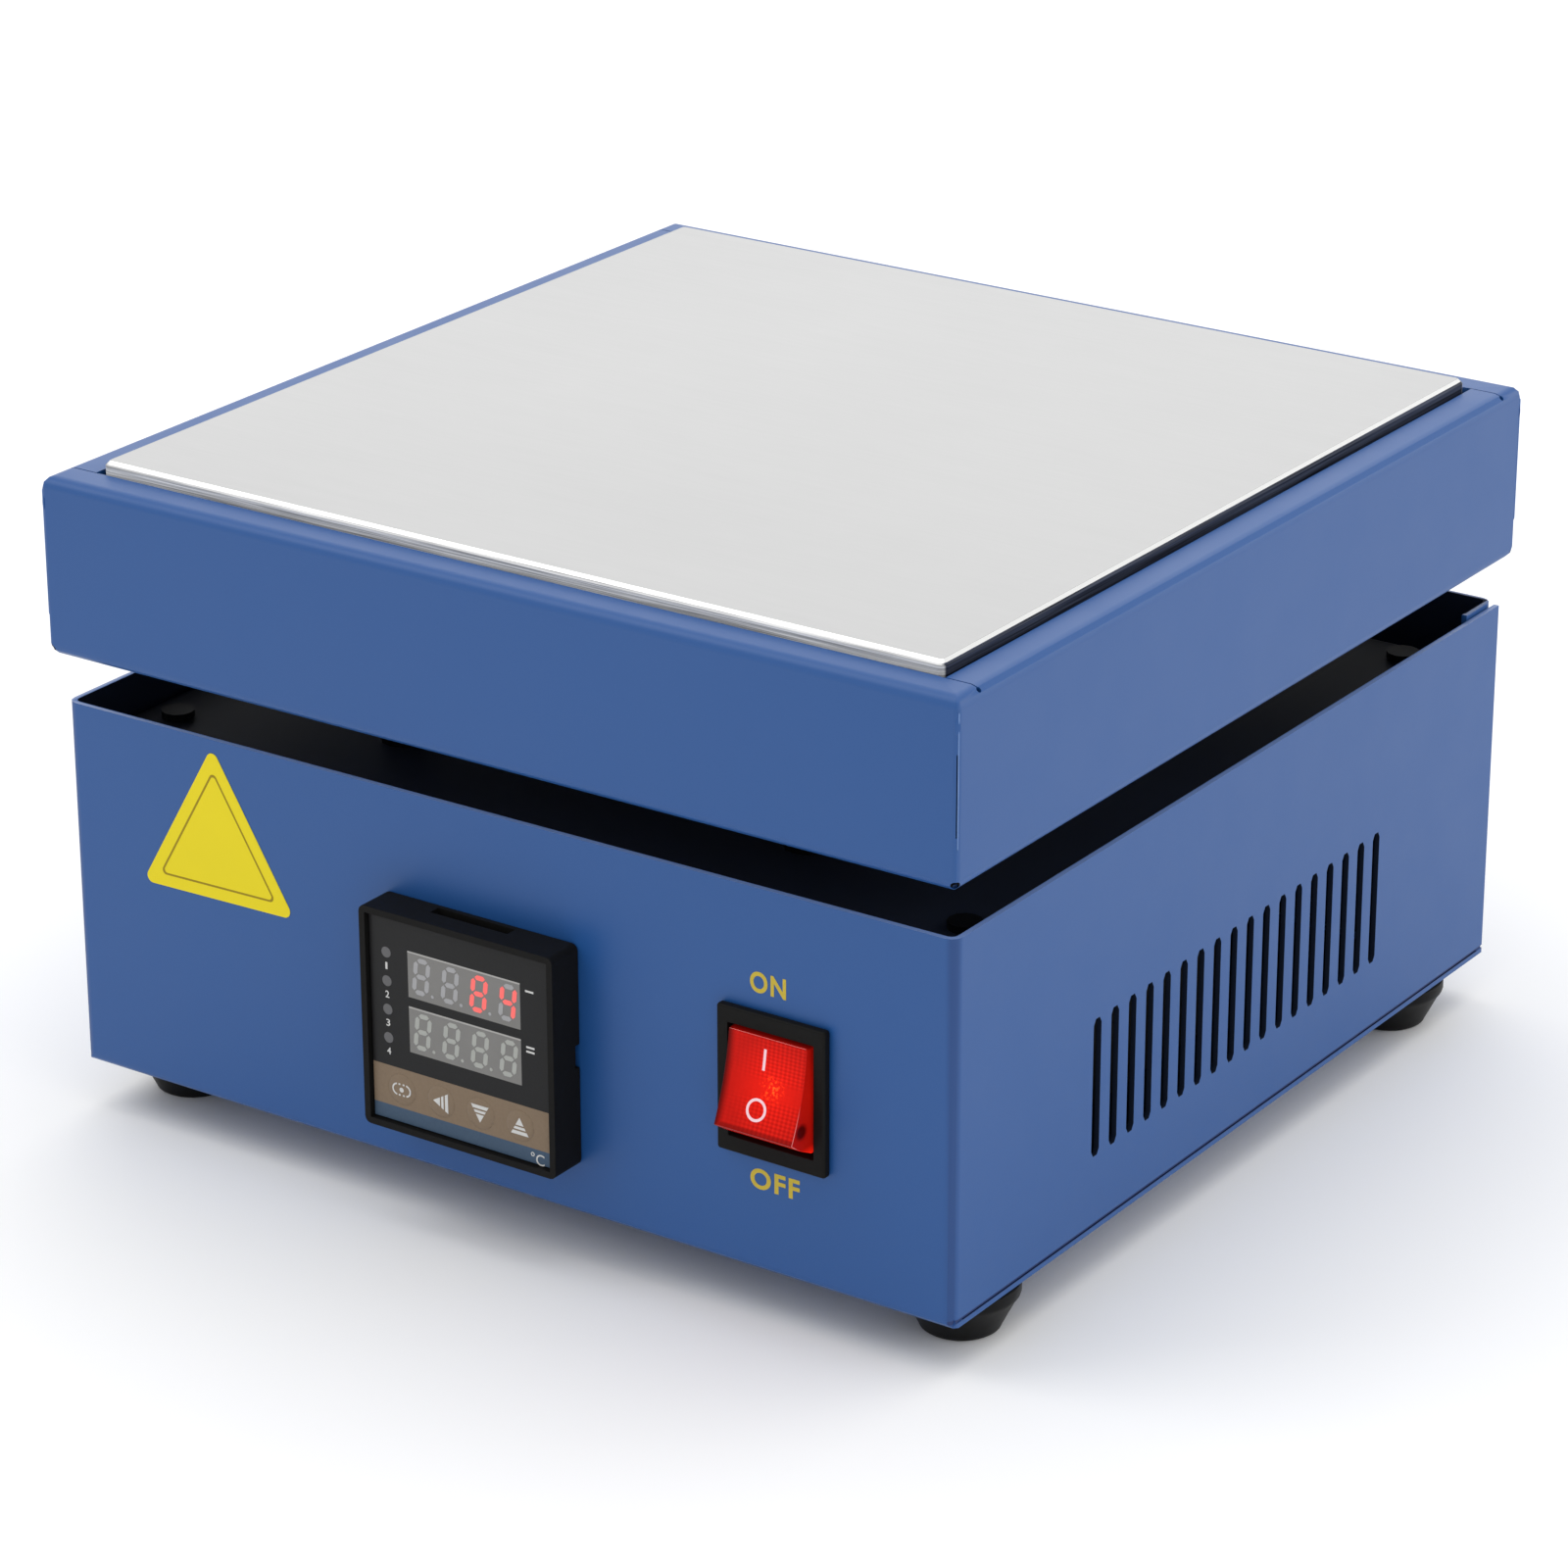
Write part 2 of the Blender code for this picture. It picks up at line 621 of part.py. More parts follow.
def build_heaters(frame):
    tip = -HEATER_LENGTH
    neck = 0.82 * HEATER_RADIUS
    profile = [(0.0, HEATER_END), (neck, HEATER_END), (neck, 0.0), (HEATER_RADIUS, 0.0),
               (HEATER_RADIUS, tip + 0.001), (HEATER_RADIUS - 0.001, tip), (0.0, tip)]
    for number, x in enumerate(heater_places(), 1):
        place = (x, PLATE_REAR_Y, HEATER_Z)
        rod = turned(f"cartridge_heater_{number}", profile, place, "Y")
        piece(rod, "bright_steel", frame)


def build_probe(frame):
    profile = [(0.0, HEATER_END), (PROBE_RADIUS + 0.0008, HEATER_END), (PROBE_RADIUS + 0.0008, CLEARANCE),
               (PROBE_RADIUS, CLEARANCE), (PROBE_RADIUS, -PROBE_DEPTH + 0.001), (0.0, -PROBE_DEPTH)]
    place = (PROBE_X, PLATE_REAR_Y, HEATER_Z)
    piece(turned("thermocouple_probe", profile, place, "Y", COARSE), "bright_steel", frame)


def build_insulation(frame):
    """Ceramic wool that fills the tray under the plate, with a notch for the leads."""
    reach_x = TRAY_WIDTH / 2 - BEND - CLEARANCE
    reach_y = TRAY_DEPTH / 2 - BEND - CLEARANCE
    low = TRAY_Z + SHEET + CLEARANCE
    high = PLATE_Z - CLEARANCE
    wool = piece(span("insulation_board", (-reach_x, -reach_y, low), (reach_x, reach_y, high)),
                 "wool", frame)
    middle = (low + high) / 2
    holes = [(x, y, middle) for x, y in post_places()]
    cut(wool, rods("post_passages", POST_NECK_RADIUS + CLEARANCE, high - low + 2 * PAST, holes))
    notch = GROMMET_LIP + 2 * CLEARANCE
    cut(wool, span("lead_notch", (GROMMET_X - notch, GROMMET_Y - notch, low - PAST),
                   (GROMMET_X + notch, reach_y + PAST, high + PAST)))


def tray_section(inset, height):
    """One level outline of the tray; the outer wall's corners are the roundest."""
    radius = max(TRAY_CORNER - inset, TRAY_CORNER / 3)
    return rounded_rectangle(TRAY_WIDTH - 2 * inset, TRAY_DEPTH - 2 * inset, radius), height


def build_tray(frame):
    """A folded pan: floor, four walls, and a flange turned in round the plate."""
    inner_bend = BEND - SHEET
    outside = arc((BEND, TRAY_Z + BEND), BEND, 270, 180, 3)
    outside += arc((BEND, TRAY_TOP_Z - BEND), BEND, 180, 90, 3)
    outside += [(TRAY_FLANGE, TRAY_TOP_Z), (TRAY_FLANGE, TRAY_TOP_Z - SHEET)]
    inside = arc((BEND, TRAY_TOP_Z - BEND), inner_bend, 90, 180, 2)
    inside += arc((BEND, TRAY_Z + BEND), inner_bend, 180, 270, 2)
    sections = [tray_section(inset, height) for inset, height in outside + inside]
    tray = piece(lofted("upper_tray", sections), "blue_paint", frame)
    floor = TRAY_Z + SHEET / 2
    through = SHEET + 2 * PAST
    holes = [(x, y, floor) for x, y in post_places()]
    cut(tray, rods("tray_post_holes", POST_NECK_RADIUS + CLEARANCE, through, holes))
    cut(tray, rods("tray_lead_hole", GROMMET_NECK + CLEARANCE, through,
                   [(GROMMET_X, GROMMET_Y, floor)], "Z", MEDIUM))
    cut_tray_corners(tray)


def cut_tray_corners(tray):
    """Open seams and relief holes where the flange, the walls and the floor meet."""
    fold = BEND * (1.0 - math.sqrt(0.5))
    seam_low = TRAY_Z + CORNER_SEAM_DROP
    seam_high = TRAY_TOP_Z - CORNER_SEAM_DROP
    flange_low = TRAY_TOP_Z - SHEET - PAST
    flange_high = TRAY_TOP_Z + PAST
    for side_x, side_y in CORNERS:
        tag = f"{'left' if side_x < 0 else 'right'}_{'front' if side_y < 0 else 'rear'}"
        opening_x = side_x * (TRAY_WIDTH / 2 - TRAY_FLANGE)
        opening_y = side_y * (TRAY_DEPTH / 2 - TRAY_FLANGE)
        relief_x = side_x * (TRAY_WIDTH / 2 - fold)
        ends = sorted((opening_x - side_x * PAST, relief_x))
        cut(tray, span("flange_seam_" + tag, (ends[0], opening_y - CORNER_SEAM / 2, flange_low),
                       (ends[1], opening_y + CORNER_SEAM / 2, flange_high)))
        drill = rods("flange_relief_" + tag, RELIEF_RADIUS, 4 * SHEET, [(0.0, 0.0, 0.0)], "X")
        drill.location = (relief_x, opening_y, TRAY_TOP_Z - fold)
        drill.rotation_euler = (0.0, -side_x * math.pi / 4, 0.0)
        cut(tray, drill)
        corner = Vector((side_x * TRAY_WIDTH / 2, side_y * TRAY_DEPTH / 2, 0.0))
        groove = block("corner_seam_" + tag, (4 * SHEET, CORNER_SEAM, seam_high - seam_low))
        groove.location = corner + Vector((0.0, 0.0, (seam_low + seam_high) / 2))
        groove.rotation_euler = (0.0, 0.0, math.atan2(side_y, side_x))
        cut(tray, groove)
        drill = rods("floor_relief_" + tag, RELIEF_RADIUS, 4 * SHEET, [(0.0, 0.0, 0.0)], "X")
        drill.location = corner + Vector((0.0, 0.0, TRAY_Z + BEND / 2))
        drill.rotation_euler = (0.0, 0.0, math.atan2(side_y, side_x))
        cut(tray, drill)


# Posts, feet and screws

def build_upper_posts(frame):
    """Posts riveted to the heat shield: the tray rests on the shoulder, the plate on the neck."""
    rivet_top = SHIELD_Z - CLEARANCE
    profile = [(0.0, PLATE_Z + POST_STUD), (SCREW_RADIUS, PLATE_Z + POST_STUD),
               (SCREW_RADIUS, PLATE_Z - CLEARANCE), (POST_NECK_RADIUS, PLATE_Z - CLEARANCE),
               (POST_NECK_RADIUS, TRAY_Z - CLEARANCE), (POST_RADIUS, TRAY_Z - CLEARANCE),
               (POST_RADIUS, SHIELD_TOP_Z + CLEARANCE), (RIVET_RADIUS, SHIELD_TOP_Z + CLEARANCE),
               (RIVET_RADIUS, rivet_top), (RIVET_HEAD_RADIUS, rivet_top),
               (RIVET_HEAD_RADIUS, rivet_top - RIVET_HEAD_HEIGHT), (0.0, rivet_top - RIVET_HEAD_HEIGHT)]
    for number, (x, y) in enumerate(post_places(), 1):
        piece(turned(f"upper_post_{number}", profile, (x, y, 0.0), "Z", COARSE), "black_steel", frame)


def build_lower_posts(frame):
    """Posts riveted under the heat shield, tapped for the screws that hold the feet."""
    rivet_low = SHIELD_TOP_Z + CLEARANCE
    foot = FLOOR_Z + CLEARANCE
    tapped = foot + SCREW_BITE + PAST
    profile = [(0.0, rivet_low + RIVET_HEAD_HEIGHT), (RIVET_HEAD_RADIUS, rivet_low + RIVET_HEAD_HEIGHT),
               (RIVET_HEAD_RADIUS, rivet_low), (RIVET_RADIUS, rivet_low),
               (RIVET_RADIUS, SHIELD_Z - CLEARANCE), (POST_RADIUS, SHIELD_Z - CLEARANCE),
               (POST_RADIUS, foot), (SCREW_HOLE, foot), (SCREW_HOLE, tapped), (0.0, tapped)]
    for number, (x, y) in enumerate(foot_places(), 1):
        piece(turned(f"lower_post_{number}", profile, (x, y, 0.0), "Z", COARSE), "black_steel", frame)


def build_feet(frame):
    """Rubber feet with a straight rim, a taper and a recess for the screw head."""
    top = FOOT_HEIGHT - CLEARANCE
    edge = arc((FOOT_BOTTOM_RADIUS - FOOT_ROUNDING, FOOT_ROUNDING), FOOT_ROUNDING, -20, -90, 3)
    profile = [(SCREW_HOLE, top), (FOOT_TOP_RADIUS - 0.0004, top), (FOOT_TOP_RADIUS, top - 0.0004),
               (FOOT_TOP_RADIUS, FOOT_HEIGHT - FOOT_LIP), *edge, (FOOT_RECESS_RADIUS, 0.0),
               (FOOT_RECESS_RADIUS, FOOT_RECESS_DEPTH), (SCREW_HOLE, FOOT_RECESS_DEPTH)]
    head = FOOT_RECESS_DEPTH - CLEARANCE
    reach = FLOOR_Z + CLEARANCE + SCREW_BITE - head
    for number, (x, y) in enumerate(foot_places(), 1):
        piece(turned(f"rubber_foot_{number}", profile, (x, y, 0.0), "Z", FINE, ring=True), "rubber", frame)
        screw(f"foot_screw_{number}", (x, y, head), "Z", reach, "bright_steel", frame)


# The control housing

def rear_screw_places():
    first = -REAR_SCREW_PITCH * (REAR_SCREW_COUNT - 1) / 2
    y = PANEL_REAR_Y - SHEET - REAR_FLANGE / 2
    return [(first + REAR_SCREW_PITCH * index, y) for index in range(REAR_SCREW_COUNT)]


def relay_screw_places():
    reach = RELAY_SCREW_SPACING / 2
    return [(RELAY_X, RELAY_Y - reach), (RELAY_X, RELAY_Y + reach)]


def build_lower_housing(frame):
    """Front, sides and base bent from one sheet, open above and behind."""
    size = (HOUSING_WIDTH, HOUSING_DEPTH, HOUSING_HEIGHT)
    middle = (0.0, 0.0, BASE_Z + HOUSING_HEIGHT / 2)
    housing = folded_sheet("lower_housing", size, middle, [(0, 0, 1), (0, 1, 0)],
                           [(-1, -1, 0), (1, -1, 0), (0, -1, -1)], SHEET)
    piece(housing, "blue_paint", frame)
    opening = CASE_SIDE + 2 * CLEARANCE
    cut(housing, block("controller_cutout", (opening, 4 * SHEET, opening),
                       (CONTROLLER_X, PANEL_FRONT_Y, CONTROLLER_Z)))
    cut(housing, block("switch_cutout", (SWITCH_BODY_WIDTH + 2 * CLEARANCE, 4 * SHEET,
                                         SWITCH_BODY_HEIGHT + 2 * CLEARANCE),
                       (SWITCH_X, PANEL_FRONT_Y, SWITCH_Z)))
    outlines = []
    first = -SLOT_PITCH * (SLOT_COUNT - 1) / 2
    for index in range(SLOT_COUNT):
        y = first + SLOT_PITCH * index
        outlines.append([(y + across, up) for across, up in stadium(SLOT_WIDTH, SLOT_LENGTH)])
    height = BASE_Z + SLOT_BOTTOM + SLOT_LENGTH / 2
    cut(housing, extruded("side_slots", outlines, HOUSING_WIDTH + 4 * SHEET, (0.0, 0.0, height), "X"))
    floor = BASE_Z + SHEET / 2
    through = SHEET + 2 * PAST
    bolts = [(x, y, floor) for x, y in foot_places() + relay_screw_places()]
    cut(housing, rods("base_bolt_holes", SCREW_HOLE, through, bolts))
    small = [(x, y, floor) for x, y in rear_screw_places()]
    cut(housing, rods("base_screw_holes", SMALL_SCREW_HOLE, through, small))
    seam_z = FLOOR_Z + BASE_SEAM / 2
    for side, tag in ((-1, "left"), (1, "right")):
        side_x = side * HOUSING_WIDTH / 2
        cut(housing, block("base_seam_" + tag, (BASE_SEAM, HOUSING_DEPTH, BASE_SEAM),
                           (side_x, BEND / 2, seam_z)))
        cut(housing, rods("base_relief_" + tag, RELIEF_RADIUS, SHEET,
                          [(side_x, PANEL_FRONT_Y + BEND / 2, seam_z)], "X"))


def build_rear_panel(frame):
    """Panel with three flanges folded forward, between the housing's sides."""
    width = HOUSING_WIDTH - 2 * (SHEET + CLEARANCE)
    low = FLOOR_Z + CLEARANCE
    high = HOUSING_TOP_Z + REAR_RISE
    size = (width, REAR_FLANGE, high - low)
    middle = (0.0, PANEL_REAR_Y - REAR_FLANGE / 2, (low + high) / 2)
    panel = folded_sheet("rear_panel", size, middle, [(0, 0, 1), (0, -1, 0)],
                         [(-1, 1, 0), (1, 1, 0), (0, 1, -1)], SHEET)
    piece(panel, "blue_paint", frame)
    cut(panel, block("inlet_cutout", (INLET_BODY_WIDTH + 2 * CLEARANCE, 4 * SHEET,
                                      INLET_BODY_HEIGHT + 2 * CLEARANCE),
                     (INLET_X, PANEL_REAR_Y, INLET_Z)))
    reach = INLET_SCREW_SPACING / 2
    places = [(INLET_X - reach, PANEL_REAR_Y, INLET_Z), (INLET_X + reach, PANEL_REAR_Y, INLET_Z)]
    cut(panel, rods("inlet_screw_holes", SMALL_SCREW_HOLE, 4 * SHEET, places, "Y"))
    flange = low + SHEET / 2
    small = [(x, y, flange) for x, y in rear_screw_places()]
    cut(panel, rods("flange_screw_holes", SMALL_SCREW_HOLE, SHEET + 2 * PAST, small))
    for number, (x, y) in enumerate(rear_screw_places(), 1):
        screw(f"rear_panel_screw_{number}", (x, y, BASE_Z - CLEARANCE), "Z", 0.006,
              "black_steel", frame, small=True)


def build_heat_shield(frame):
    """Dark sheet under the air gap, flanged downwards, that carries the hot stack."""
    side = HOUSING_WIDTH - 2 * (SHEET + CLEARANCE)
    front = PANEL_FRONT_Y + SHEET + CLEARANCE
    rear = PANEL_REAR_Y - REAR_FLANGE - CLEARANCE
    size = (side, rear - front, SHIELD_FLANGE)
    middle = (0.0, (front + rear) / 2, SHIELD_TOP_Z - SHIELD_FLANGE / 2)
    shield = folded_sheet("heat_shield", size, middle, [(0, 0, -1)],
                          [(-1, 0, 1), (1, 0, 1), (0, -1, 1), (0, 1, 1), (-1, -1, 0), (1, -1, 0)],
                          SHIELD_SHEET)
    piece(shield, "dark_paint", frame)
    level = SHIELD_Z + SHIELD_SHEET / 2
    through = SHIELD_SHEET + 2 * PAST
    rivets = [(x, y, level) for x, y in post_places() + foot_places()]
    cut(shield, rods("rivet_holes", RIVET_RADIUS + CLEARANCE, through, rivets))
    cut(shield, rods("shield_lead_hole", SHIELD_HOLE_RADIUS, through,
                     [(GROMMET_X, GROMMET_Y, level)], "Z", MEDIUM))


# The temperature controller: y is measured from the panel's outer face

def key_places():
    return [(KEY_FIRST_X + KEY_PITCH * index, KEY_Z) for index in range(4)]


OVERLAY_FRONT_Y = -CONTROLLER_PROUD + OVERLAY_RECESS
OVERLAY_BACK_Y = OVERLAY_FRONT_Y + OVERLAY_THICKNESS
CASE_FACE_Y = OVERLAY_BACK_Y + CLEARANCE
CASE_INNER_Y = CASE_FACE_Y + CASE_FRONT_WALL
KEY_FLANGE_Y = CASE_INNER_Y + CLEARANCE
KEY_STEM_END_Y = KEY_FLANGE_Y + KEY_FLANGE_THICKNESS + KEY_STEM
DISPLAY_BASE_Y = CASE_INNER_Y + CLEARANCE
BOARD_Y = DISPLAY_BASE_Y + DISPLAY_DEPTH + CLEARANCE
WINDOW_CENTRE_Z = (UPPER_WINDOW_Z + LOWER_WINDOW_Z) / 2
WINDOW_REACH_Z = UPPER_WINDOW_Z - LOWER_WINDOW_Z + WINDOW_HEIGHT


def build_controller_case(holder):
    """Moulded case: square bezel with a rimmed recess, and a tube through the panel."""
    case = span("controller_case", (-BEZEL_SIDE / 2, -CONTROLLER_PROUD, -BEZEL_SIDE / 2),
                (BEZEL_SIDE / 2, -CLEARANCE, BEZEL_SIDE / 2), "Y", BEZEL_CORNER, 3)
    piece(case, "black_plastic", holder)
    half = CASE_SIDE / 2
    fuse(case, span("case_tube", (-half, -2 * PAST, -half), (half, CASE_DEPTH, half)))
    recess = OVERLAY_SIDE / 2 + CLEARANCE
    cut(case, span("overlay_recess", (-recess, -CONTROLLER_PROUD - PAST, -recess),
                   (recess, CASE_FACE_Y, recess)))
    inner = half - CASE_WALL
    cut(case, span("case_hollow", (-inner, CASE_INNER_Y, -inner), (inner, CASE_DEPTH + PAST, inner)))
    window = (WINDOW_WIDTH / 2 + CLEARANCE, WINDOW_REACH_Z / 2 + CLEARANCE)
    cut(case, span("display_opening",
                   (WINDOW_X - window[0], CASE_FACE_Y - PAST, WINDOW_CENTRE_Z - window[1]),
                   (WINDOW_X + window[0], CASE_INNER_Y + PAST, WINDOW_CENTRE_Z + window[1])))
    keys = [(x, (CASE_FACE_Y + CASE_INNER_Y) / 2, z) for x, z in key_places()]
    cut(case, rods("case_key_holes", KEY_RADIUS + CLEARANCE, CASE_FRONT_WALL + 2 * PAST, keys, "Y", MEDIUM))
    rim = BEZEL_SIDE / 2
    for side, tag in ((-1, "low"), (1, "high")):
        size = (GRIP_WIDTH, GRIP_HEIGHT, 2 * GRIP_DEPTH)
        cut(case, block("grip_notch_" + tag, size, (0.0, -GRIP_SETBACK, side * rim)))
        size = (2 * GRIP_DEPTH, 2 * SIDE_NOTCH_DEPTH, SIDE_NOTCH_HEIGHT)
        cut(case, block("side_notch_" + tag, size, (side * rim, -CLEARANCE, 0.0)))


def build_overlay(holder):
    """Front film with two display windows and four key holes."""
    half = OVERLAY_SIDE / 2
    film = span("controller_overlay", (-half, OVERLAY_FRONT_Y, -half), (half, OVERLAY_BACK_Y, half))
    piece(film, "overlay_film", holder)
    middle = (OVERLAY_FRONT_Y + OVERLAY_BACK_Y) / 2
    through = OVERLAY_THICKNESS + 2 * PAST
    for z, tag in ((UPPER_WINDOW_Z, "upper"), (LOWER_WINDOW_Z, "lower")):
        cut(film, block(tag + "_window", (WINDOW_WIDTH, through, WINDOW_HEIGHT), (WINDOW_X, middle, z)))
    keys = [(x, middle, z) for x, z in key_places()]
    cut(film, rods("film_key_holes", KEY_RADIUS + CLEARANCE, through, keys, "Y", MEDIUM))


def build_keys(holder):
    """Four plungers pushed from the front, each with a flange behind the case's front wall."""
    face = KEY_FLANGE_Y - (OVERLAY_FRONT_Y - KEY_PROUD)
    dome = 0.0004
    stem = -(KEY_FLANGE_THICKNESS + KEY_STEM)
    profile = [(0.0, face), (KEY_RADIUS - dome, face), (KEY_RADIUS, face - dome / 2), (KEY_RADIUS, 0.0),
               (KEY_FLANGE_RADIUS, 0.0), (KEY_FLANGE_RADIUS, -KEY_FLANGE_THICKNESS),
               (KEY_STEM_RADIUS, -KEY_FLANGE_THICKNESS), (KEY_STEM_RADIUS, stem), (0.0, stem)]
    for name, (x, z) in zip(("key_set", "key_left", "key_down", "key_up"), key_places()):
        key = turned(name, profile, (x, KEY_FLANGE_Y, z), "Y")
        key.rotation_euler = (math.pi / 2, 0.0, 0.0)
        piece(key, "key_film", holder)


def build_display(holder):
    """Two-row digit block whose faces fill the windows of the film."""
    width = WINDOW_WIDTH + 2 * DISPLAY_RIM
    height = WINDOW_REACH_Z + 2 * DISPLAY_RIM
    low = (WINDOW_X - width / 2, DISPLAY_BASE_Y, WINDOW_CENTRE_Z - height / 2)
    high = (WINDOW_X + width / 2, DISPLAY_BASE_Y + DISPLAY_DEPTH, WINDOW_CENTRE_Z + height / 2)
    display = piece(span("display_module", low, high), "display_face", holder)
    reach_x = WINDOW_WIDTH / 2 - CLEARANCE
    reach_z = WINDOW_HEIGHT / 2 - CLEARANCE
    for z, tag in ((UPPER_WINDOW_Z, "upper"), (LOWER_WINDOW_Z, "lower")):
        fuse(display, span(tag + "_digit_row", (WINDOW_X - reach_x, OVERLAY_FRONT_Y + 0.0001, z - reach_z),
                           (WINDOW_X + reach_x, DISPLAY_BASE_Y + PAST, z + reach_z)))


def build_board(holder):
    """Circuit board with the four push switches that the keys press."""
    half = CASE_SIDE / 2 - CASE_WALL - CLEARANCE
    board = span("control_board", (-half, BOARD_Y, -half), (half, BOARD_Y + BOARD_THICKNESS, half))
    piece(board, "circuit_board", holder)
    push_front = KEY_STEM_END_Y + KEY_TRAVEL + CLEARANCE
    reach = PUSH_SWITCH_SIDE / 2
    for number, (x, z) in enumerate(key_places(), 1):
        fuse(board, span(f"push_switch_{number}", (x - reach, push_front, z - reach),
                         (x + reach, BOARD_Y + BOARD_THICKNESS / 2, z + reach)))


def build_clamp(holder):
    """Square collar that holds the case against the back of the panel."""
    front = SHEET + CLEARANCE
    half = CLAMP_SIDE / 2
    inner = CASE_SIDE / 2 + CLEARANCE
    clamp = span("controller_clamp", (-half, front, -half), (half, front + CLAMP_LENGTH, half), "Y", 0.002)
    piece(clamp, "black_plastic", holder)
    cut(clamp, span("clamp_hollow", (-inner, front - PAST, -inner),
                    (inner, front + CLAMP_LENGTH + PAST, inner)))


def build_terminals(holder):
    """Rear block that closes the case, with two rows of screw terminals."""
    half = CASE_SIDE / 2
    plug = half - CASE_WALL - CLEARANCE
    front = CASE_DEPTH + CLEARANCE
    back = front + TERMINAL_BLOCK_DEPTH
    block_part = piece(span("controller_terminals", (-half, front, -half), (half, back, half)),
                       "black_plastic", holder)
    fuse(block_part, span("terminal_plug", (-plug, CASE_DEPTH - TERMINAL_PLUG, -plug),
                          (plug, front + PAST, plug)))
    wells = []
    for column in (-1, 1):
        for row in range(TERMINAL_ROWS):
            level = TERMINAL_PITCH * (row - (TERMINAL_ROWS - 1) / 2)
            wells.append((column * TERMINAL_COLUMN, back, level))
    cut(block_part, rods("terminal_wells", TERMINAL_WELL_RADIUS, 2 * TERMINAL_WELL_DEPTH, wells, "Y"))


def build_controller(frame):
    holder = empty("controller_place", (CONTROLLER_X, PANEL_FRONT_Y, CONTROLLER_Z), frame)
    build_controller_case(holder)
    build_overlay(holder)
    build_keys(holder)
    build_display(holder)
    build_board(holder)
    build_clamp(holder)
    build_terminals(holder)


# The rocker switch: y is measured from the panel's outer face

def switch_lug_places():
    reach_x = SWITCH_BODY_WIDTH / 4
    reach_z = SWITCH_BODY_HEIGHT / 4
    return [(reach_x * side_x, reach_z * side_z) for side_x, side_z in CORNERS]


def build_switch_body(holder):
    """Bezel, body with the rocker's well, snap barbs and four lugs."""
    bm = cuboid((SWITCH_BEZEL_WIDTH, SWITCH_BEZEL_PROUD - CLEARANCE, SWITCH_BEZEL_HEIGHT))
    soften(bm, edges_along(bm, "Y"), SWITCH_BEZEL_CORNER)
    front = -(SWITCH_BEZEL_PROUD - CLEARANCE) / 2
    soften(bm, edges_at(bm, "Y", front), SWITCH_BEZEL_BEVEL)
    place = (0.0, -(SWITCH_BEZEL_PROUD + CLEARANCE) / 2, 0.0)
    body = piece(mesh_object("switch_body", bm, place), "black_plastic", holder)
    half_x, half_z = SWITCH_BODY_WIDTH / 2, SWITCH_BODY_HEIGHT / 2
    fuse(body, span("switch_case", (-half_x, -PAST, -half_z), (half_x, SWITCH_BODY_DEPTH, half_z)))
    barb_front = SHEET + CLEARANCE
    for side, tag in ((-1, "low"), (1, "high")):
        outline = [(barb_front, side * (half_z - BARB_HEIGHT)), (barb_front, side * (half_z + BARB_HEIGHT)),
                   (barb_front + 4 * BARB_HEIGHT, side * (half_z - BARB_HEIGHT))]
        fuse(body, extruded("switch_barb_" + tag, [outline], BARB_WIDTH, axis="X"))
    for number, (x, z) in enumerate(switch_lug_places(), 1):
        fuse(body, span(f"switch_lug_{number}",
                        (x - LUG_THICKNESS / 2, SWITCH_BODY_DEPTH - PAST, z - LUG_WIDTH / 2),
                        (x + LUG_THICKNESS / 2, SWITCH_BODY_DEPTH + LUG_LENGTH, z + LUG_WIDTH / 2)))
    half_x, half_z = SWITCH_WELL_WIDTH / 2, SWITCH_WELL_HEIGHT / 2
    cut(body, span("rocker_well", (-half_x, -SWITCH_BEZEL_PROUD - PAST, -half_z),
                   (half_x, SWITCH_WELL_DEPTH, half_z)))
    cut(body, rods("pivot_holes", ROCKER_PIN_RADIUS + CLEARANCE, SWITCH_BEZEL_WIDTH + 2 * PAST,
                   [(0.0, ROCKER_PIVOT, 0.0)], "X", MEDIUM))


def rocker_outline():
    """Side view about the pivot: hollow face between the tips, tapering back past the pivot."""
    tip_y, tip_z = -ROCKER_TIP_OUT, ROCKER_TIP_UP
    half = ROCKER_TIP_UP
    radius = (half ** 2 + ROCKER_SAG ** 2) / (2 * ROCKER_SAG)
    reach = math.degrees(math.asin(half / radius))
    centre = (tip_y + ROCKER_SAG - radius, 0.0)
    face = arc(centre, radius, reach, -reach, 8)
    heel = tip_z + ROCKER_SAG / 9
    return face + [(-ROCKER_SHOULDER, -heel), (ROCKER_ROOT_DEPTH, -ROCKER_ROOT_UP),
                   (ROCKER_ROOT_DEPTH, ROCKER_ROOT_UP), (-ROCKER_SHOULDER, heel)]


def build_rocker(holder):
    """Rocker on its two pins, tilted to the position with its upper end pressed in."""
    pivot = empty("rocker_pivot", (0.0, ROCKER_PIVOT, 0.0), holder, -ROCKER_TILT)
    width = SWITCH_WELL_WIDTH - 2 * CLEARANCE
    rocker = extruded("switch_rocker", [rocker_outline()], width, axis="X")
    narrow = (width - 2 * ROCKER_DRAFT) / width
    for vert in rocker.data.vertices:
        if vert.co.y < -ROCKER_TIP_OUT / 2:
            vert.co.x *= narrow
    piece(rocker, "red_plastic", pivot)
    pins = SWITCH_BODY_WIDTH - 2 * CLEARANCE
    fuse(rocker, rods("rocker_pins", ROCKER_PIN_RADIUS, pins, [(0.0, 0.0, 0.0)], "X", MEDIUM))


def build_switch(frame):
    holder = empty("switch_place", (SWITCH_X, PANEL_FRONT_Y, SWITCH_Z), frame)
    build_switch_body(holder)
    build_rocker(holder)


# The mains inlet: y is measured from the rear panel's outer face, outwards

INLET_FACE_Y = CLEARANCE + INLET_FLANGE_THICKNESS


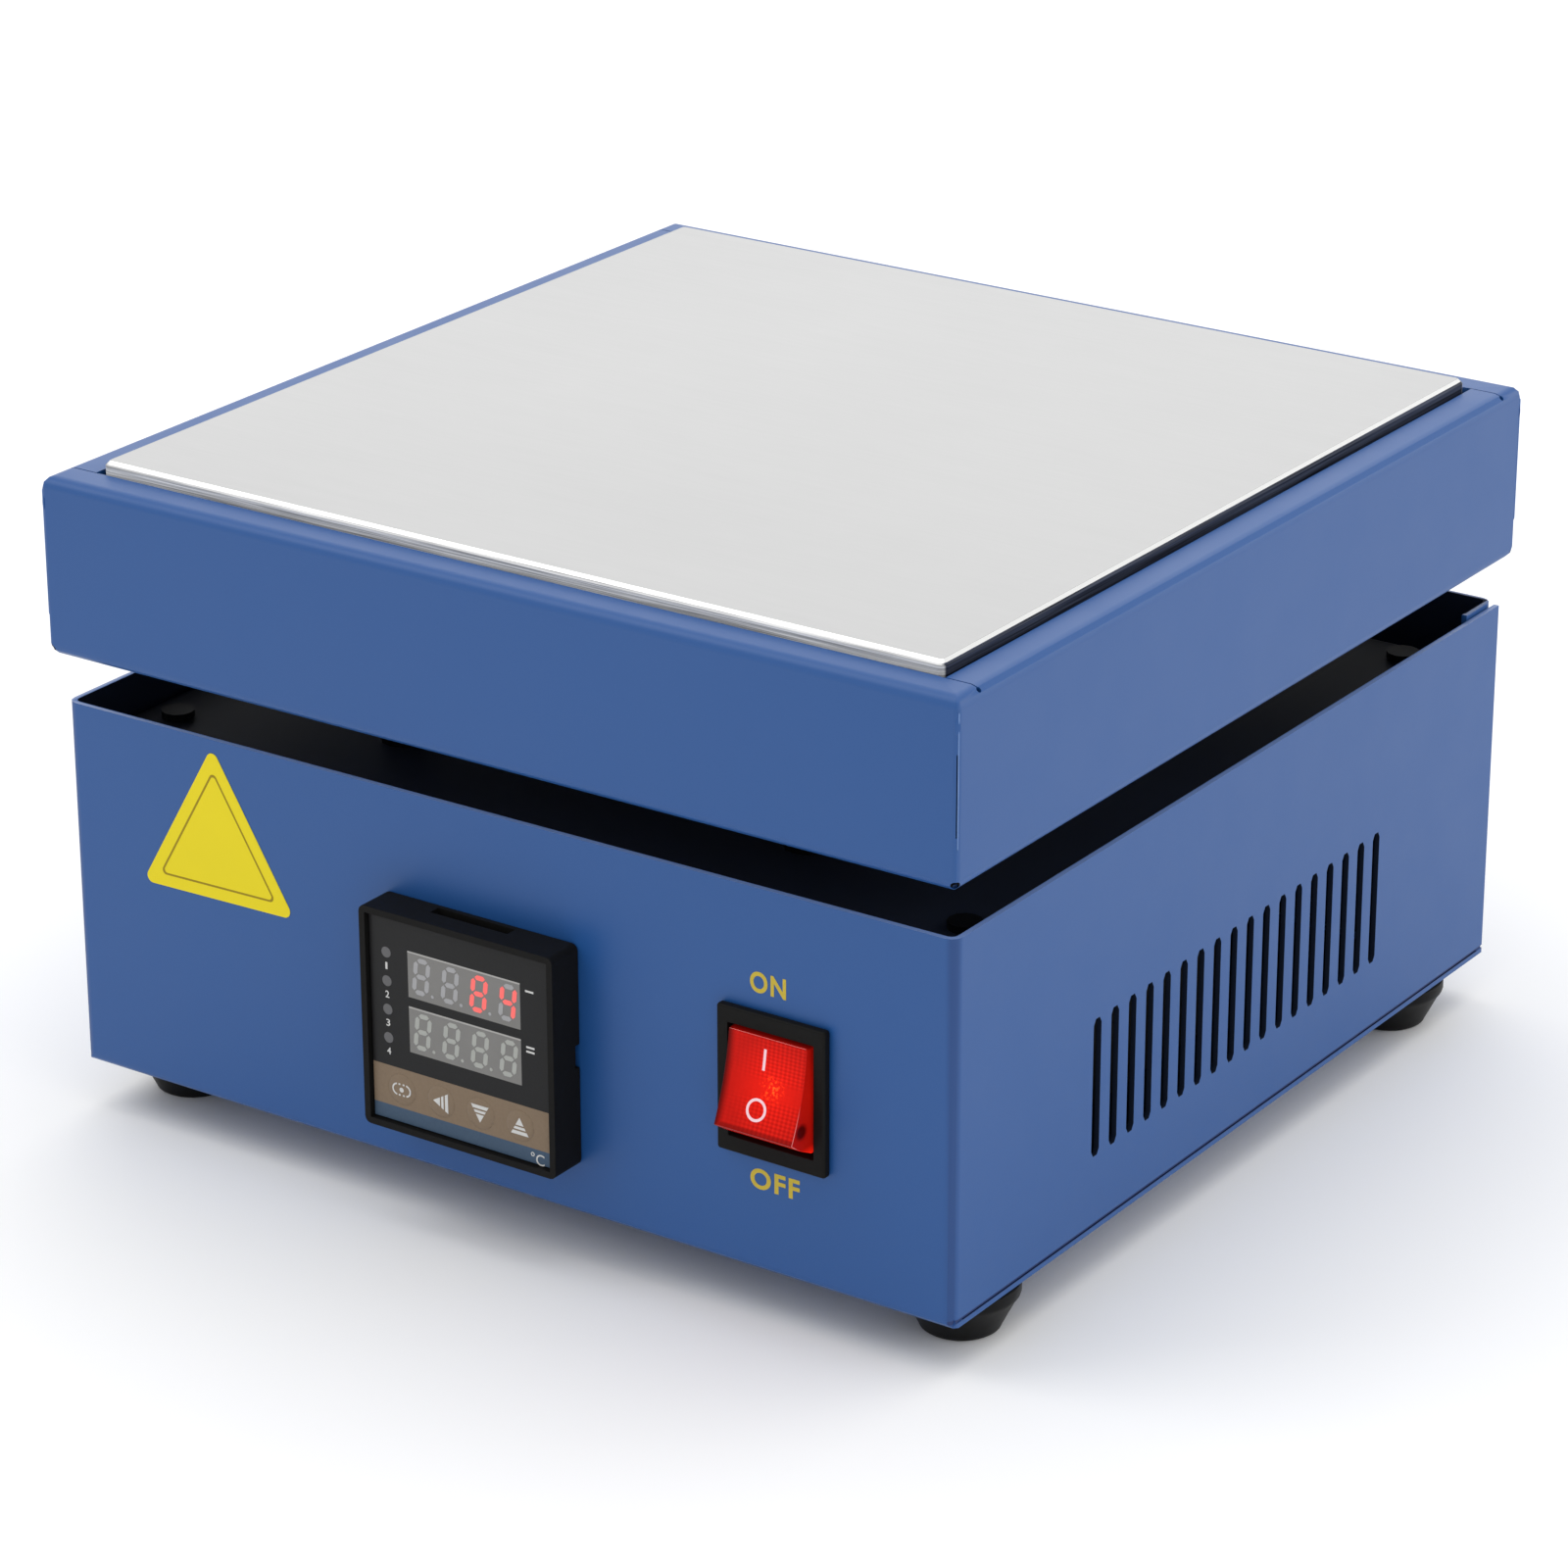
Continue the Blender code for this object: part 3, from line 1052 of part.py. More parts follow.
def socket_outline(grow=0.0):
    """Socket shape with two cut corners at the top."""
    half = SOCKET_WIDTH / 2 + grow
    low = SOCKET_LIFT - SOCKET_HEIGHT / 2 - grow
    high = SOCKET_LIFT + SOCKET_HEIGHT / 2 + grow
    return [(-half, low), (half, low), (half, high - SOCKET_CORNER), (half - SOCKET_CORNER, high),
            (-half + SOCKET_CORNER, high), (-half, high - SOCKET_CORNER)]


def pin_places():
    row = SOCKET_LIFT - PIN_RISE / 2
    return [("line", PIN_SPACING / 2, row), ("neutral", -PIN_SPACING / 2, row),
            ("earth", 0.0, row + PIN_RISE)]


def build_inlet_body(holder):
    half_x, half_z = INLET_FLANGE_WIDTH / 2, INLET_FLANGE_HEIGHT / 2
    inlet = span("inlet_body", (-half_x, CLEARANCE, -half_z), (half_x, INLET_FACE_Y, half_z), "Y", 0.003)
    piece(inlet, "black_plastic", holder)
    half_x, half_z = INLET_BODY_WIDTH / 2, INLET_BODY_HEIGHT / 2
    fuse(inlet, span("inlet_case", (-half_x, -INLET_BODY_DEPTH, -half_z), (half_x, PAST, half_z)))
    depth = SOCKET_DEPTH + PAST
    cut(inlet, extruded("socket_hollow", [socket_outline()], depth,
                        (0.0, INLET_FACE_Y + PAST - depth / 2, 0.0)))
    wide = DRAWER_WIDTH / 2 + CLEARANCE
    tall = DRAWER_HEIGHT / 2 + CLEARANCE
    cut(inlet, span("drawer_hollow", (-wide, INLET_FACE_Y - DRAWER_DEPTH - CLEARANCE, DRAWER_LIFT - tall),
                    (wide, INLET_FACE_Y + PAST, DRAWER_LIFT + tall)))
    for name, x, z in pin_places():
        size = (PIN_THICKNESS + 2 * CLEARANCE, INLET_BODY_DEPTH, PIN_HEIGHT + 2 * CLEARANCE)
        cut(inlet, block(f"pin_slot_{name}", size, (x, -INLET_BODY_DEPTH, z)))
    for side, tag in ((-1, "left"), (1, "right")):
        cut(inlet, turned("inlet_countersink_" + tag, countersunk(CLEARANCE, PAST),
                          (side * INLET_SCREW_SPACING / 2, INLET_FACE_Y, 0.0), "Y", COARSE))


def countersunk(grow=0.0, past=0.0):
    """Profile of a countersunk screw, its head's face at height 0."""
    shank = SMALL_SCREW_RADIUS + grow
    head = SMALL_HEAD_RADIUS + grow
    taper = head - shank
    tip = -0.008 - past
    return [(0.0, past), (head, past), (head, -grow), (shank, -taper - grow), (shank, tip), (0.0, tip)]


def build_inlet_screws(holder):
    for number, side in enumerate((-1, 1), 1):
        place = (side * INLET_SCREW_SPACING / 2, INLET_FACE_Y, 0.0)
        profile = countersunk()
        piece(turned(f"inlet_screw_{number}", profile[:2] + profile[3:], place, "Y", COARSE),
              "bright_steel", holder)


def build_pins(holder):
    for name, x, z in pin_places():
        tip = INLET_FACE_Y - PIN_SETBACK
        tail = -INLET_BODY_DEPTH - PIN_TAIL
        low = (x - PIN_THICKNESS / 2, tail, z - PIN_HEIGHT / 2)
        high = (x + PIN_THICKNESS / 2, tip, z + PIN_HEIGHT / 2)
        piece(span("inlet_pin_" + name, low, high, "XZ", 0.0004, 1), "brass", holder)


def build_fuse_drawer(holder):
    """Drawer that slides out of the inlet, with the fuse lying across it."""
    half_x, half_z = DRAWER_WIDTH / 2, DRAWER_HEIGHT / 2
    low = (-half_x, INLET_FACE_Y - DRAWER_DEPTH, DRAWER_LIFT - half_z)
    high = (half_x, INLET_FACE_Y, DRAWER_LIFT + half_z)
    drawer = piece(span("fuse_drawer", low, high), "black_plastic", holder)
    pocket_x = FUSE_LENGTH / 2 + CLEARANCE
    pocket_back = INLET_FACE_Y - DRAWER_DEPTH + DRAWER_WALL
    pocket_front = INLET_FACE_Y - DRAWER_FRONT
    cut(drawer, span("drawer_pocket", (-pocket_x, pocket_back, DRAWER_LIFT - half_z + DRAWER_WALL),
                     (pocket_x, pocket_front, DRAWER_LIFT + half_z + PAST)))
    top = DRAWER_LIFT + half_z
    cut(drawer, span("drawer_grip",
                     (-DRAWER_GRIP_WIDTH / 2, INLET_FACE_Y - DRAWER_GRIP_DEPTH, top - DRAWER_GRIP_HEIGHT),
                     (DRAWER_GRIP_WIDTH / 2, INLET_FACE_Y + PAST, top + PAST)))
    fuse_y = pocket_back + CLEARANCE + FUSE_RADIUS
    fuse_z = DRAWER_LIFT - half_z + DRAWER_WALL + CLEARANCE + FUSE_RADIUS
    half = FUSE_LENGTH / 2
    cap = half - FUSE_CAP
    neck = FUSE_RADIUS - FUSE_NECK
    profile = [(0.0, half), (FUSE_RADIUS, half), (FUSE_RADIUS, cap), (neck, cap),
               (neck, -cap), (FUSE_RADIUS, -cap), (FUSE_RADIUS, -half), (0.0, -half)]
    piece(turned("fuse", profile, (0.0, fuse_y, fuse_z), "X", COARSE), "glass", holder)


def build_inlet(frame):
    holder = empty("inlet_place", (INLET_X, PANEL_REAR_Y, INLET_Z), frame)
    build_inlet_body(holder)
    build_inlet_screws(holder)
    build_pins(holder)
    build_fuse_drawer(holder)


# Relay, terminal block and wiring

def build_relay(frame):
    """Solid-state relay screwed to the base, with two ears and terminal wells."""
    width, depth, height = RELAY_SIZE
    low_z = FLOOR_Z + CLEARANCE
    relay = span("solid_state_relay", (RELAY_X - width / 2, RELAY_Y - depth / 2, low_z),
                 (RELAY_X + width / 2, RELAY_Y + depth / 2, low_z + height), "Z", 0.002)
    piece(relay, "relay_case", frame)
    for number, (x, y) in enumerate(relay_screw_places(), 1):
        outward = -1 if y < RELAY_Y else 1
        ends = sorted((y - outward * RELAY_EAR, y + outward * (RELAY_EAR + 2 * PAST)))
        cut(relay, span(f"relay_ear_{number}", (x - RELAY_EAR, ends[0], low_z + RELAY_EAR),
                        (x + RELAY_EAR, ends[1], low_z + height + PAST)))
        reach = RELAY_EAR + SHEET + 2 * CLEARANCE + PAST
        head = low_z + RELAY_EAR + CLEARANCE
        bolt = screw(f"relay_screw_{number}", (x, y, head), "Z", reach, "bright_steel", frame)
        bolt.rotation_euler = (math.pi, 0.0, 0.0)
    holes = [(x, y, low_z + RELAY_EAR / 2) for x, y in relay_screw_places()]
    cut(relay, rods("relay_holes", SCREW_HOLE, RELAY_EAR + 2 * PAST, holes))
    wells = []
    for side_x, side_y in CORNERS:
        wells.append((RELAY_X + side_x * RELAY_WELL_X, RELAY_Y + side_y * RELAY_WELL_Y, low_z + height))
    cut(relay, rods("relay_wells", RELAY_WELL_RADIUS, 2 * RELAY_WELL_DEPTH, wells))


def block_well_places():
    """Terminal wells, the front row first and each row from the left."""
    width, depth = HEATER_BLOCK_SIZE[:2]
    pitch = width / HEATER_BLOCK_WAYS
    first = HEATER_BLOCK_X - pitch * (HEATER_BLOCK_WAYS - 1) / 2
    rows = (HEATER_BLOCK_Y - depth / 4, HEATER_BLOCK_Y + depth / 4)
    return [(first + pitch * way, y) for y in rows for way in range(HEATER_BLOCK_WAYS)]


def build_heater_block(frame):
    """Ceramic terminal block where the heater leads end."""
    width, depth, height = HEATER_BLOCK_SIZE
    low_z = FLOOR_Z + CLEARANCE
    ceramic = span("heater_terminal_block", (HEATER_BLOCK_X - width / 2, HEATER_BLOCK_Y - depth / 2, low_z),
                   (HEATER_BLOCK_X + width / 2, HEATER_BLOCK_Y + depth / 2, low_z + height), "Z", 0.002)
    piece(ceramic, "ceramic", frame)
    wells = [(x, y, low_z + height) for x, y in block_well_places()]
    cut(ceramic, rods("block_wells", BLOCK_WELL_RADIUS, 2 * BLOCK_WELL_DEPTH, wells))


def build_grommet(frame):
    low = TRAY_Z - CLEARANCE
    high = TRAY_Z + SHEET + CLEARANCE
    profile = [(GROMMET_BORE, high + GROMMET_LIP_HEIGHT), (GROMMET_LIP, high + GROMMET_LIP_HEIGHT),
               (GROMMET_LIP, high), (GROMMET_NECK, high), (GROMMET_NECK, low), (GROMMET_LIP, low),
               (GROMMET_LIP, low - GROMMET_LIP_HEIGHT), (GROMMET_BORE, low - GROMMET_LIP_HEIGHT)]
    piece(turned("cable_grommet", profile, (GROMMET_X, GROMMET_Y, 0.0), ring=True), "rubber", frame)


def between(start, end, share):
    return start + (end - start) * share


def route_heater_loom():
    """From the heaters down through the grommet to the ceramic block."""
    run_y = PLATE_REAR_Y + HEATER_END + CLEARANCE + LOOM_RADIUS
    first_heater, last_heater = heater_places()[0], heater_places()[-1]
    x, y = GROMMET_X + LOOM_OFFSET, GROMMET_Y
    end_x, end_y = block_well_places()[HEATER_BLOCK_WAYS]
    end_z = FLOOR_Z + 2 * CLEARANCE + HEATER_BLOCK_SIZE[2] - BLOCK_WELL_DEPTH
    turn_x = min(first_heater - 0.003, GROMMET_X + 0.010)
    return [(last_heater + HEATER_RADIUS, run_y, HEATER_Z), (0.0, run_y, HEATER_Z), (turn_x, run_y, HEATER_Z),
            (x + 0.001, run_y - 0.0005, PLATE_Z), (x, y + 0.003, PLATE_Z - 0.012), (x, y, TRAY_Z),
            (x, y, SHIELD_Z), (x + 0.004, y, SHIELD_Z - 0.020),
            (between(x, end_x, 0.45), between(y, end_y, 0.3), between(end_z, SHIELD_Z, 0.42)),
            (end_x, end_y + 0.002, end_z + 0.016), (end_x, end_y, end_z + 0.006), (end_x, end_y, end_z)]


def route_probe_wire():
    """From the probe down through the grommet to the controller's rear."""
    run_y = PLATE_REAR_Y + HEATER_END + CLEARANCE + PROBE_WIRE_RADIUS
    run_z = HEATER_Z - HEATER_RADIUS - 0.0005
    x, y = GROMMET_X + PROBE_WIRE_OFFSET, GROMMET_Y
    end_x = CONTROLLER_X - TERMINAL_COLUMN
    end_y = PANEL_FRONT_Y + CASE_DEPTH + CLEARANCE + TERMINAL_BLOCK_DEPTH + 0.0005
    end_z = CONTROLLER_Z + TERMINAL_PITCH
    return [(PROBE_X, run_y, run_z + 0.0005), (between(PROBE_X, x, 0.37), run_y, run_z),
            (x + 0.012, run_y, run_z), (x + 0.003, run_y, PLATE_Z + 0.0005),
            (x, y + 0.004, PLATE_Z - 0.012), (x, y, TRAY_Z), (x, y, SHIELD_Z),
            (x + 0.006, y - 0.007, SHIELD_Z - 0.0128),
            (between(x, end_x, 0.52), between(y, end_y, 0.26), between(end_z, SHIELD_Z, 0.28)),
            (between(x, end_x, 0.92), between(y, end_y, 0.5), end_z + 0.006),
            (end_x, between(y, end_y, 0.75), end_z + 0.002), (end_x, end_y, end_z)]


def route_mains_wire():
    """From the line pin along the right side to the switch."""
    start_x = INLET_X + PIN_SPACING / 2
    start_y = PANEL_REAR_Y - INLET_BODY_DEPTH - PIN_TAIL - 2 * CLEARANCE
    start_z = INLET_Z + SOCKET_LIFT - PIN_RISE / 2
    lug_x, lug_z = switch_lug_places()[3]
    end_x, end_z = SWITCH_X + lug_x, SWITCH_Z + lug_z
    end_y = PANEL_FRONT_Y + SWITCH_BODY_DEPTH + LUG_LENGTH + CLEARANCE
    side_x = HOUSING_WIDTH / 2 - SIDE_RUN_INSET
    side_z = SHIELD_Z - SIDE_RUN_DROP
    return [(start_x, start_y, start_z), (start_x + 0.004, start_y - 0.011, start_z + 0.003),
            (between(start_x, side_x, 0.8), between(start_y, end_y, 0.27), side_z - 0.002),
            (side_x, between(start_y, end_y, 0.63), side_z),
            (between(side_x, end_x, 0.5), end_y + 0.020, between(side_z, end_z, 0.45)),
            (end_x, end_y + 0.004, end_z), (end_x, end_y, end_z)]


def route_relay_wire():
    """From the switch to the relay's front well."""
    lug_x, lug_z = switch_lug_places()[0]
    start_x, start_z = SWITCH_X + lug_x, SWITCH_Z + lug_z
    start_y = PANEL_FRONT_Y + SWITCH_BODY_DEPTH + LUG_LENGTH + CLEARANCE
    end_x, end_y = RELAY_X - RELAY_WELL_X, RELAY_Y - RELAY_WELL_Y
    end_z = FLOOR_Z + 2 * CLEARANCE + RELAY_SIZE[2] - RELAY_WELL_DEPTH
    return [(start_x, start_y, start_z), (start_x - 0.001, start_y + 0.016, start_z),
            (between(start_x, end_x, 0.6), between(start_y, end_y, 0.62), start_z + 0.003),
            (end_x, end_y - 0.002, end_z + 0.016), (end_x, end_y, end_z)]


def route_feed_wire():
    """From the relay's rear well to the ceramic block."""
    start_x, start_y = RELAY_X - RELAY_WELL_X, RELAY_Y + RELAY_WELL_Y
    start_z = FLOOR_Z + 2 * CLEARANCE + RELAY_SIZE[2] - RELAY_WELL_DEPTH
    end_x, end_y = block_well_places()[HEATER_BLOCK_WAYS - 1]
    end_z = FLOOR_Z + 2 * CLEARANCE + HEATER_BLOCK_SIZE[2] - BLOCK_WELL_DEPTH
    return [(start_x, start_y, start_z), (start_x - 0.001, start_y + 0.002, start_z + 0.016),
            (between(start_x, end_x, 0.4), between(start_y, end_y, 0.45), between(end_z, SHIELD_Z, 0.45)),
            (end_x + 0.002, end_y - 0.003, end_z + 0.020), (end_x, end_y, end_z + 0.006),
            (end_x, end_y, end_z)]


def build_wiring(frame):
    """Leads at their real routes; each ends just clear of its terminal."""
    wire("heater_loom", route_heater_loom(), LOOM_RADIUS, "sleeve", frame, 3)
    wire("thermocouple_wire", route_probe_wire(), PROBE_WIRE_RADIUS, "sleeve", frame, 3)
    wire("mains_wire", route_mains_wire(), WIRE_RADIUS, "red_wire", frame, 3)
    wire("relay_wire", route_relay_wire(), WIRE_RADIUS, "blue_wire", frame, 3)
    wire("heater_feed_wire", route_feed_wire(), WIRE_RADIUS, "black_wire", frame, 3)


def main():
    frame = empty("preheater_frame", (0.0, BODY_SHIFT_Y, 0.0))
    build_heating_plate(frame)
    build_heaters(frame)
    build_probe(frame)
    build_insulation(frame)
    build_tray(frame)
    build_upper_posts(frame)
    build_lower_posts(frame)
    build_feet(frame)
    build_lower_housing(frame)
    build_rear_panel(frame)
    build_heat_shield(frame)
    build_controller(frame)
    build_switch(frame)
    build_inlet(frame)
    build_relay(frame)
    build_heater_block(frame)
    build_grommet(frame)
    build_wiring(frame)


main()
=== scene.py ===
"""Looks of the bench preheater: finishes, lettering, display, light and camera.

Metres throughout, in the frame's own coordinates: +Z up, the front faces -Y.
"""

import json
from math import atan2, cos, pi, radians, sin, tan, tau

import bmesh
import bpy
from mathutils import Matrix, Vector


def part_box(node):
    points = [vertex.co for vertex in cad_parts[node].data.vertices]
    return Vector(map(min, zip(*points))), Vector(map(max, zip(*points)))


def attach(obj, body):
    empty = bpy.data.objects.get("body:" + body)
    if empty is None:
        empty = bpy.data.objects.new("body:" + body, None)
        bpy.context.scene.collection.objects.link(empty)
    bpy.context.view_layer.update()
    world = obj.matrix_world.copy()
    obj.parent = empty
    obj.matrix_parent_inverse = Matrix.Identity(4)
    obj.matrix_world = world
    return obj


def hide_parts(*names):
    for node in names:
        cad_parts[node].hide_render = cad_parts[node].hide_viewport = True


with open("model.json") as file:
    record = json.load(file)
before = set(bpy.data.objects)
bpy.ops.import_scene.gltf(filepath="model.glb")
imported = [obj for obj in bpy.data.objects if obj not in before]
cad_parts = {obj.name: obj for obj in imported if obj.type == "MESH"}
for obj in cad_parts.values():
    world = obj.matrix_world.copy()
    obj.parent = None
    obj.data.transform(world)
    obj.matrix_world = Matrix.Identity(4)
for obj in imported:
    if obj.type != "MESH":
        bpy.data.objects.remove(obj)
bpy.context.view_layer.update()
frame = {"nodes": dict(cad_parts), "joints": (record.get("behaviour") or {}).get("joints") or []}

MM = 0.001
X, Y, Z = range(3)          # numbers of the axes
SINK = 0.01 * MM            # how far a printed or stuck-on piece reaches into its ground
FOIL = 0.04 * MM            # thickness of print and digits
TINY = 1e-7                 # a shorter length counts as none

# Camera that matches the photograph, measured on a 1600-pixel frame
CAMERA_AZIMUTH = 34.464     # degrees from the front towards the right side
CAMERA_ELEVATION = 22.253
CAMERA_ROLL = -0.10
CAMERA_DISTANCE = 1.176552
CAMERA_SHIFT_RIGHT = -0.00317
CAMERA_SHIFT_UP = 0.047561
CAMERA_TARGET = Vector((0.0, 0.003125, 0.0105))
FOCAL_PIXELS = 5578.78
FRAME_PIXELS = 1600
SENSOR = 36.0

# Studio: each light has a name, a place, a size and a power
WORLD_STRENGTH = 0.86
FLOOR_REACH = 3.0
LIGHT_TARGET = Vector((0.0, 0.0, 0.08))
LIGHTS = (
    ("top_softbox", (0.0, 0.4, 2.2), (2.0, 2.0), 15.0),
    ("side_softbox", (2.2, 0.3, 0.9), (1.8, 1.5), 5.0),
    ("front_left_softbox", (-1.2, -0.87, 1.9), (1.2, 1.2), 9.0),
    ("back_left_card", (-1.2, 1.75, 0.95), (2.0, 1.0), 6.0),
    ("back_right_card", (1.25, 1.85, 0.45), (1.6, 0.9), 6.5),
)

# Places from the frame
HOUSING_LOW, HOUSING_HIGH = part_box("lower_housing")
TRAY_LOW, TRAY_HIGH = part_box("upper_tray")
PLATE_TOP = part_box("heating_plate")[1].z
CASE_LOW, CASE_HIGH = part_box("controller_case")
FILM_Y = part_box("controller_overlay")[0].y
DISPLAY_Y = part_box("display_module")[0].y
TRAY_MIDDLE_Y = (TRAY_LOW.y + TRAY_HIGH.y) / 2
PANEL_Y = HOUSING_LOW.y
BASE_Z = HOUSING_LOW.z
CONTROL_X = (CASE_LOW.x + CASE_HIGH.x) / 2
CONTROL_Z = (CASE_LOW.z + CASE_HIGH.z) / 2
ROCKER_PIVOT = Vector(next(j for j in frame["joints"] if j["name"] == "rocker_turn")["pos_m"])
SHEET = 1.2 * MM

# Sizes of the controller's front, from its centre
WINDOW_LEFT = -12.6 * MM
WINDOW_RIGHT = 15.1 * MM
WINDOW_BASES = (6.1 * MM, -5.9 * MM)
WINDOW_HEIGHT = 10.0 * MM
TAUPE_TOP = -10.2 * MM
SLATE_TOP = -18.9 * MM
LAMP_X = -17.95 * MM
LAMP_HEIGHTS = (14.45 * MM, 8.24 * MM, 2.05 * MM, -4.13 * MM)
LAMP_RADIUS = 1.15 * MM
LAMP_RISE = 0.06 * MM
LABEL_DROP = 2.9 * MM
LABEL_HEIGHT = 1.5 * MM
BAR_X = 16.4 * MM
BAR_SIZE = (2.0 * MM, 0.42 * MM)
BAR_PITCH = 0.95 * MM
BAR_ROWS = ((14.6 * MM, 1), (2.6 * MM, 2))
UNIT_BOX = (17.0 * MM, -22.2 * MM, 3.3 * MM, 2.5 * MM)
KEY_NAMES = ("set", "left", "down", "up")
KEY_CAP_RADIUS = 3.35 * MM
KEY_CAP_RISE = 0.25 * MM
DIGIT_PITCH = 7.1 * MM
DIGIT_WIDTH = 4.1 * MM
DIGIT_HEIGHT = 8.0 * MM
DIGIT_STROKE = 1.05 * MM
DIGIT_GAP = 0.52 * MM
DIGIT_SLANT = 0.11
DIGIT_FIRST = 3.35 * MM     # first digit's centre from the window's left edge
DIGIT_BASE = 1.05 * MM      # digits above the window's lower edge
DIGIT_ROWS = ("unlit_upper", "unlit_lower")
POINT_RADIUS = 0.36 * MM    # decimal point, right of each digit but the last
POINT_PLACE = (0.62 * MM, 0.45 * MM)
LIT = {                     # lit segments of a digit, by its row and place
    (0, 2): ("top", "middle", "bottom", "upper_left", "upper_right", "lower_left", "lower_right"),
    (0, 3): ("middle", "upper_left", "upper_right", "lower_right"),
}
ARROW_LENGTH = 3.7 * MM
ARROW_HALF = 2.15 * MM
ARROW_CUTS = ((0.0, 0.46), (0.55, 0.70), (0.80, 1.0))

# Sticker and switch words, over the housing's base
STICKER_POINTS = ((-89.66, 45.83), (-49.73, 46.66), (-69.76, 79.78))
KEYLINE_INSET = 2.6 * MM
KEYLINE_WIDTH = 0.45 * MM
WORD_HEIGHT = 4.4 * MM
WORDS = (("word_on", "ON", 62.1 * MM, 61.8 * MM, 8.3 * MM),
         ("word_off", "OFF", 62.0 * MM, 20.3 * MM, 11.5 * MM))

# Feet, bends and the tray's corners
FOOT_BASE_RADIUS = 8.4 * MM
FOOT_HOLE_RADIUS = 4.6 * MM
FOOT_HOLE_DEPTH = 4.2 * MM
BEND_ANGLE = 38.0           # degrees; a steeper edge is a corner and no bend
SHEET_EDGE = 0.16 * MM
TRAY_CORNER = 1.2 * MM
HOLE_INSET = 0.7 * MM       # painted shade of the relief holes, from the tray's corner
HOLE_RISE = 1.35 * MM
HOLE_RADIUS = 0.98 * MM
RIDGE_RISE = 9.0 * MM
RIDGE_DROP = 3.0 * MM
WELD_DROP = 5.6 * MM
WELD_SIZE = (0.32 * MM, 0.75 * MM, 1.7 * MM)

# Rocker: tilt, face, ends and pins of the CAD part, with a deeper belly and heel
ROCKER_TILT = radians(16.0)
ROCKER_TIP_OUT = 8.0 * MM
ROCKER_TIP_UP = 9.6 * MM
ROCKER_SAG = 0.9 * MM
ROCKER_HALF = 9.6 * MM
ROCKER_HALF_FRONT = 9.0 * MM
ROCKER_BELLY = (4.2 * MM, 10.75 * MM)
ROCKER_HEEL = (0.75 * MM, 11.35 * MM)
ROCKER_ROOT = (-3.5 * MM, 3.0 * MM)
ROCKER_PIN = 1.5 * MM
ROCKER_PIN_REACH = 10.8 * MM
RIB_PITCH = (1.0 * MM, 0.72 * MM)
ROCKER_LAMP = (2.2 * MM, 2.0 * MM)      # the face's brightest spot, along X and Z from the pivot
FLANK_SPOT = (-7.2 * MM, -5.0 * MM)     # painted shadow: a dark spot on the right flank, along Y and Z
LINE_MARK = (-0.25 * MM, 0.30 * MM, 3.15 * MM, 4.2 * MM)    # centre, half width, foot and length
RING_CENTRE = (-0.4 * MM, -4.65 * MM)
RING_RADII = (2.28 * MM, 1.72 * MM)


def rocker_point(x, out, up):
    """Point of the rocker as it stands at rest, from its pivot: out to the front and up along its face."""
    return Vector((ROCKER_PIVOT.x + x,
                   ROCKER_PIVOT.y - (out * cos(ROCKER_TILT) - up * sin(ROCKER_TILT)),
                   ROCKER_PIVOT.z + out * sin(ROCKER_TILT) + up * cos(ROCKER_TILT)))


def rocker_reach(share):
    """Depth of the hollow face; share runs from -1 at its lower end to 1."""
    return ROCKER_TIP_OUT - ROCKER_SAG * (1.0 - share * share)


def rocker_face(x, share, out=0.0):
    return rocker_point(x, rocker_reach(share) + out, ROCKER_TIP_UP * share)


ROCKER_TOP = rocker_face(0.0, 1.0) - ROCKER_PIVOT
ROCKER_FOOT = rocker_face(0.0, -1.0) - ROCKER_PIVOT


def srgb(red, green, blue):
    """Linear colour of an 8-bit screen colour."""
    parts = [c / 255.0 for c in (red, green, blue)]
    return tuple(c / 12.92 if c <= 0.04045 else ((c + 0.055) / 1.055) ** 2.4 for c in parts)


def scaled(colour, factor):
    """A lighter or darker colour."""
    return tuple(min(1.0, c * factor) for c in colour)


# Materials

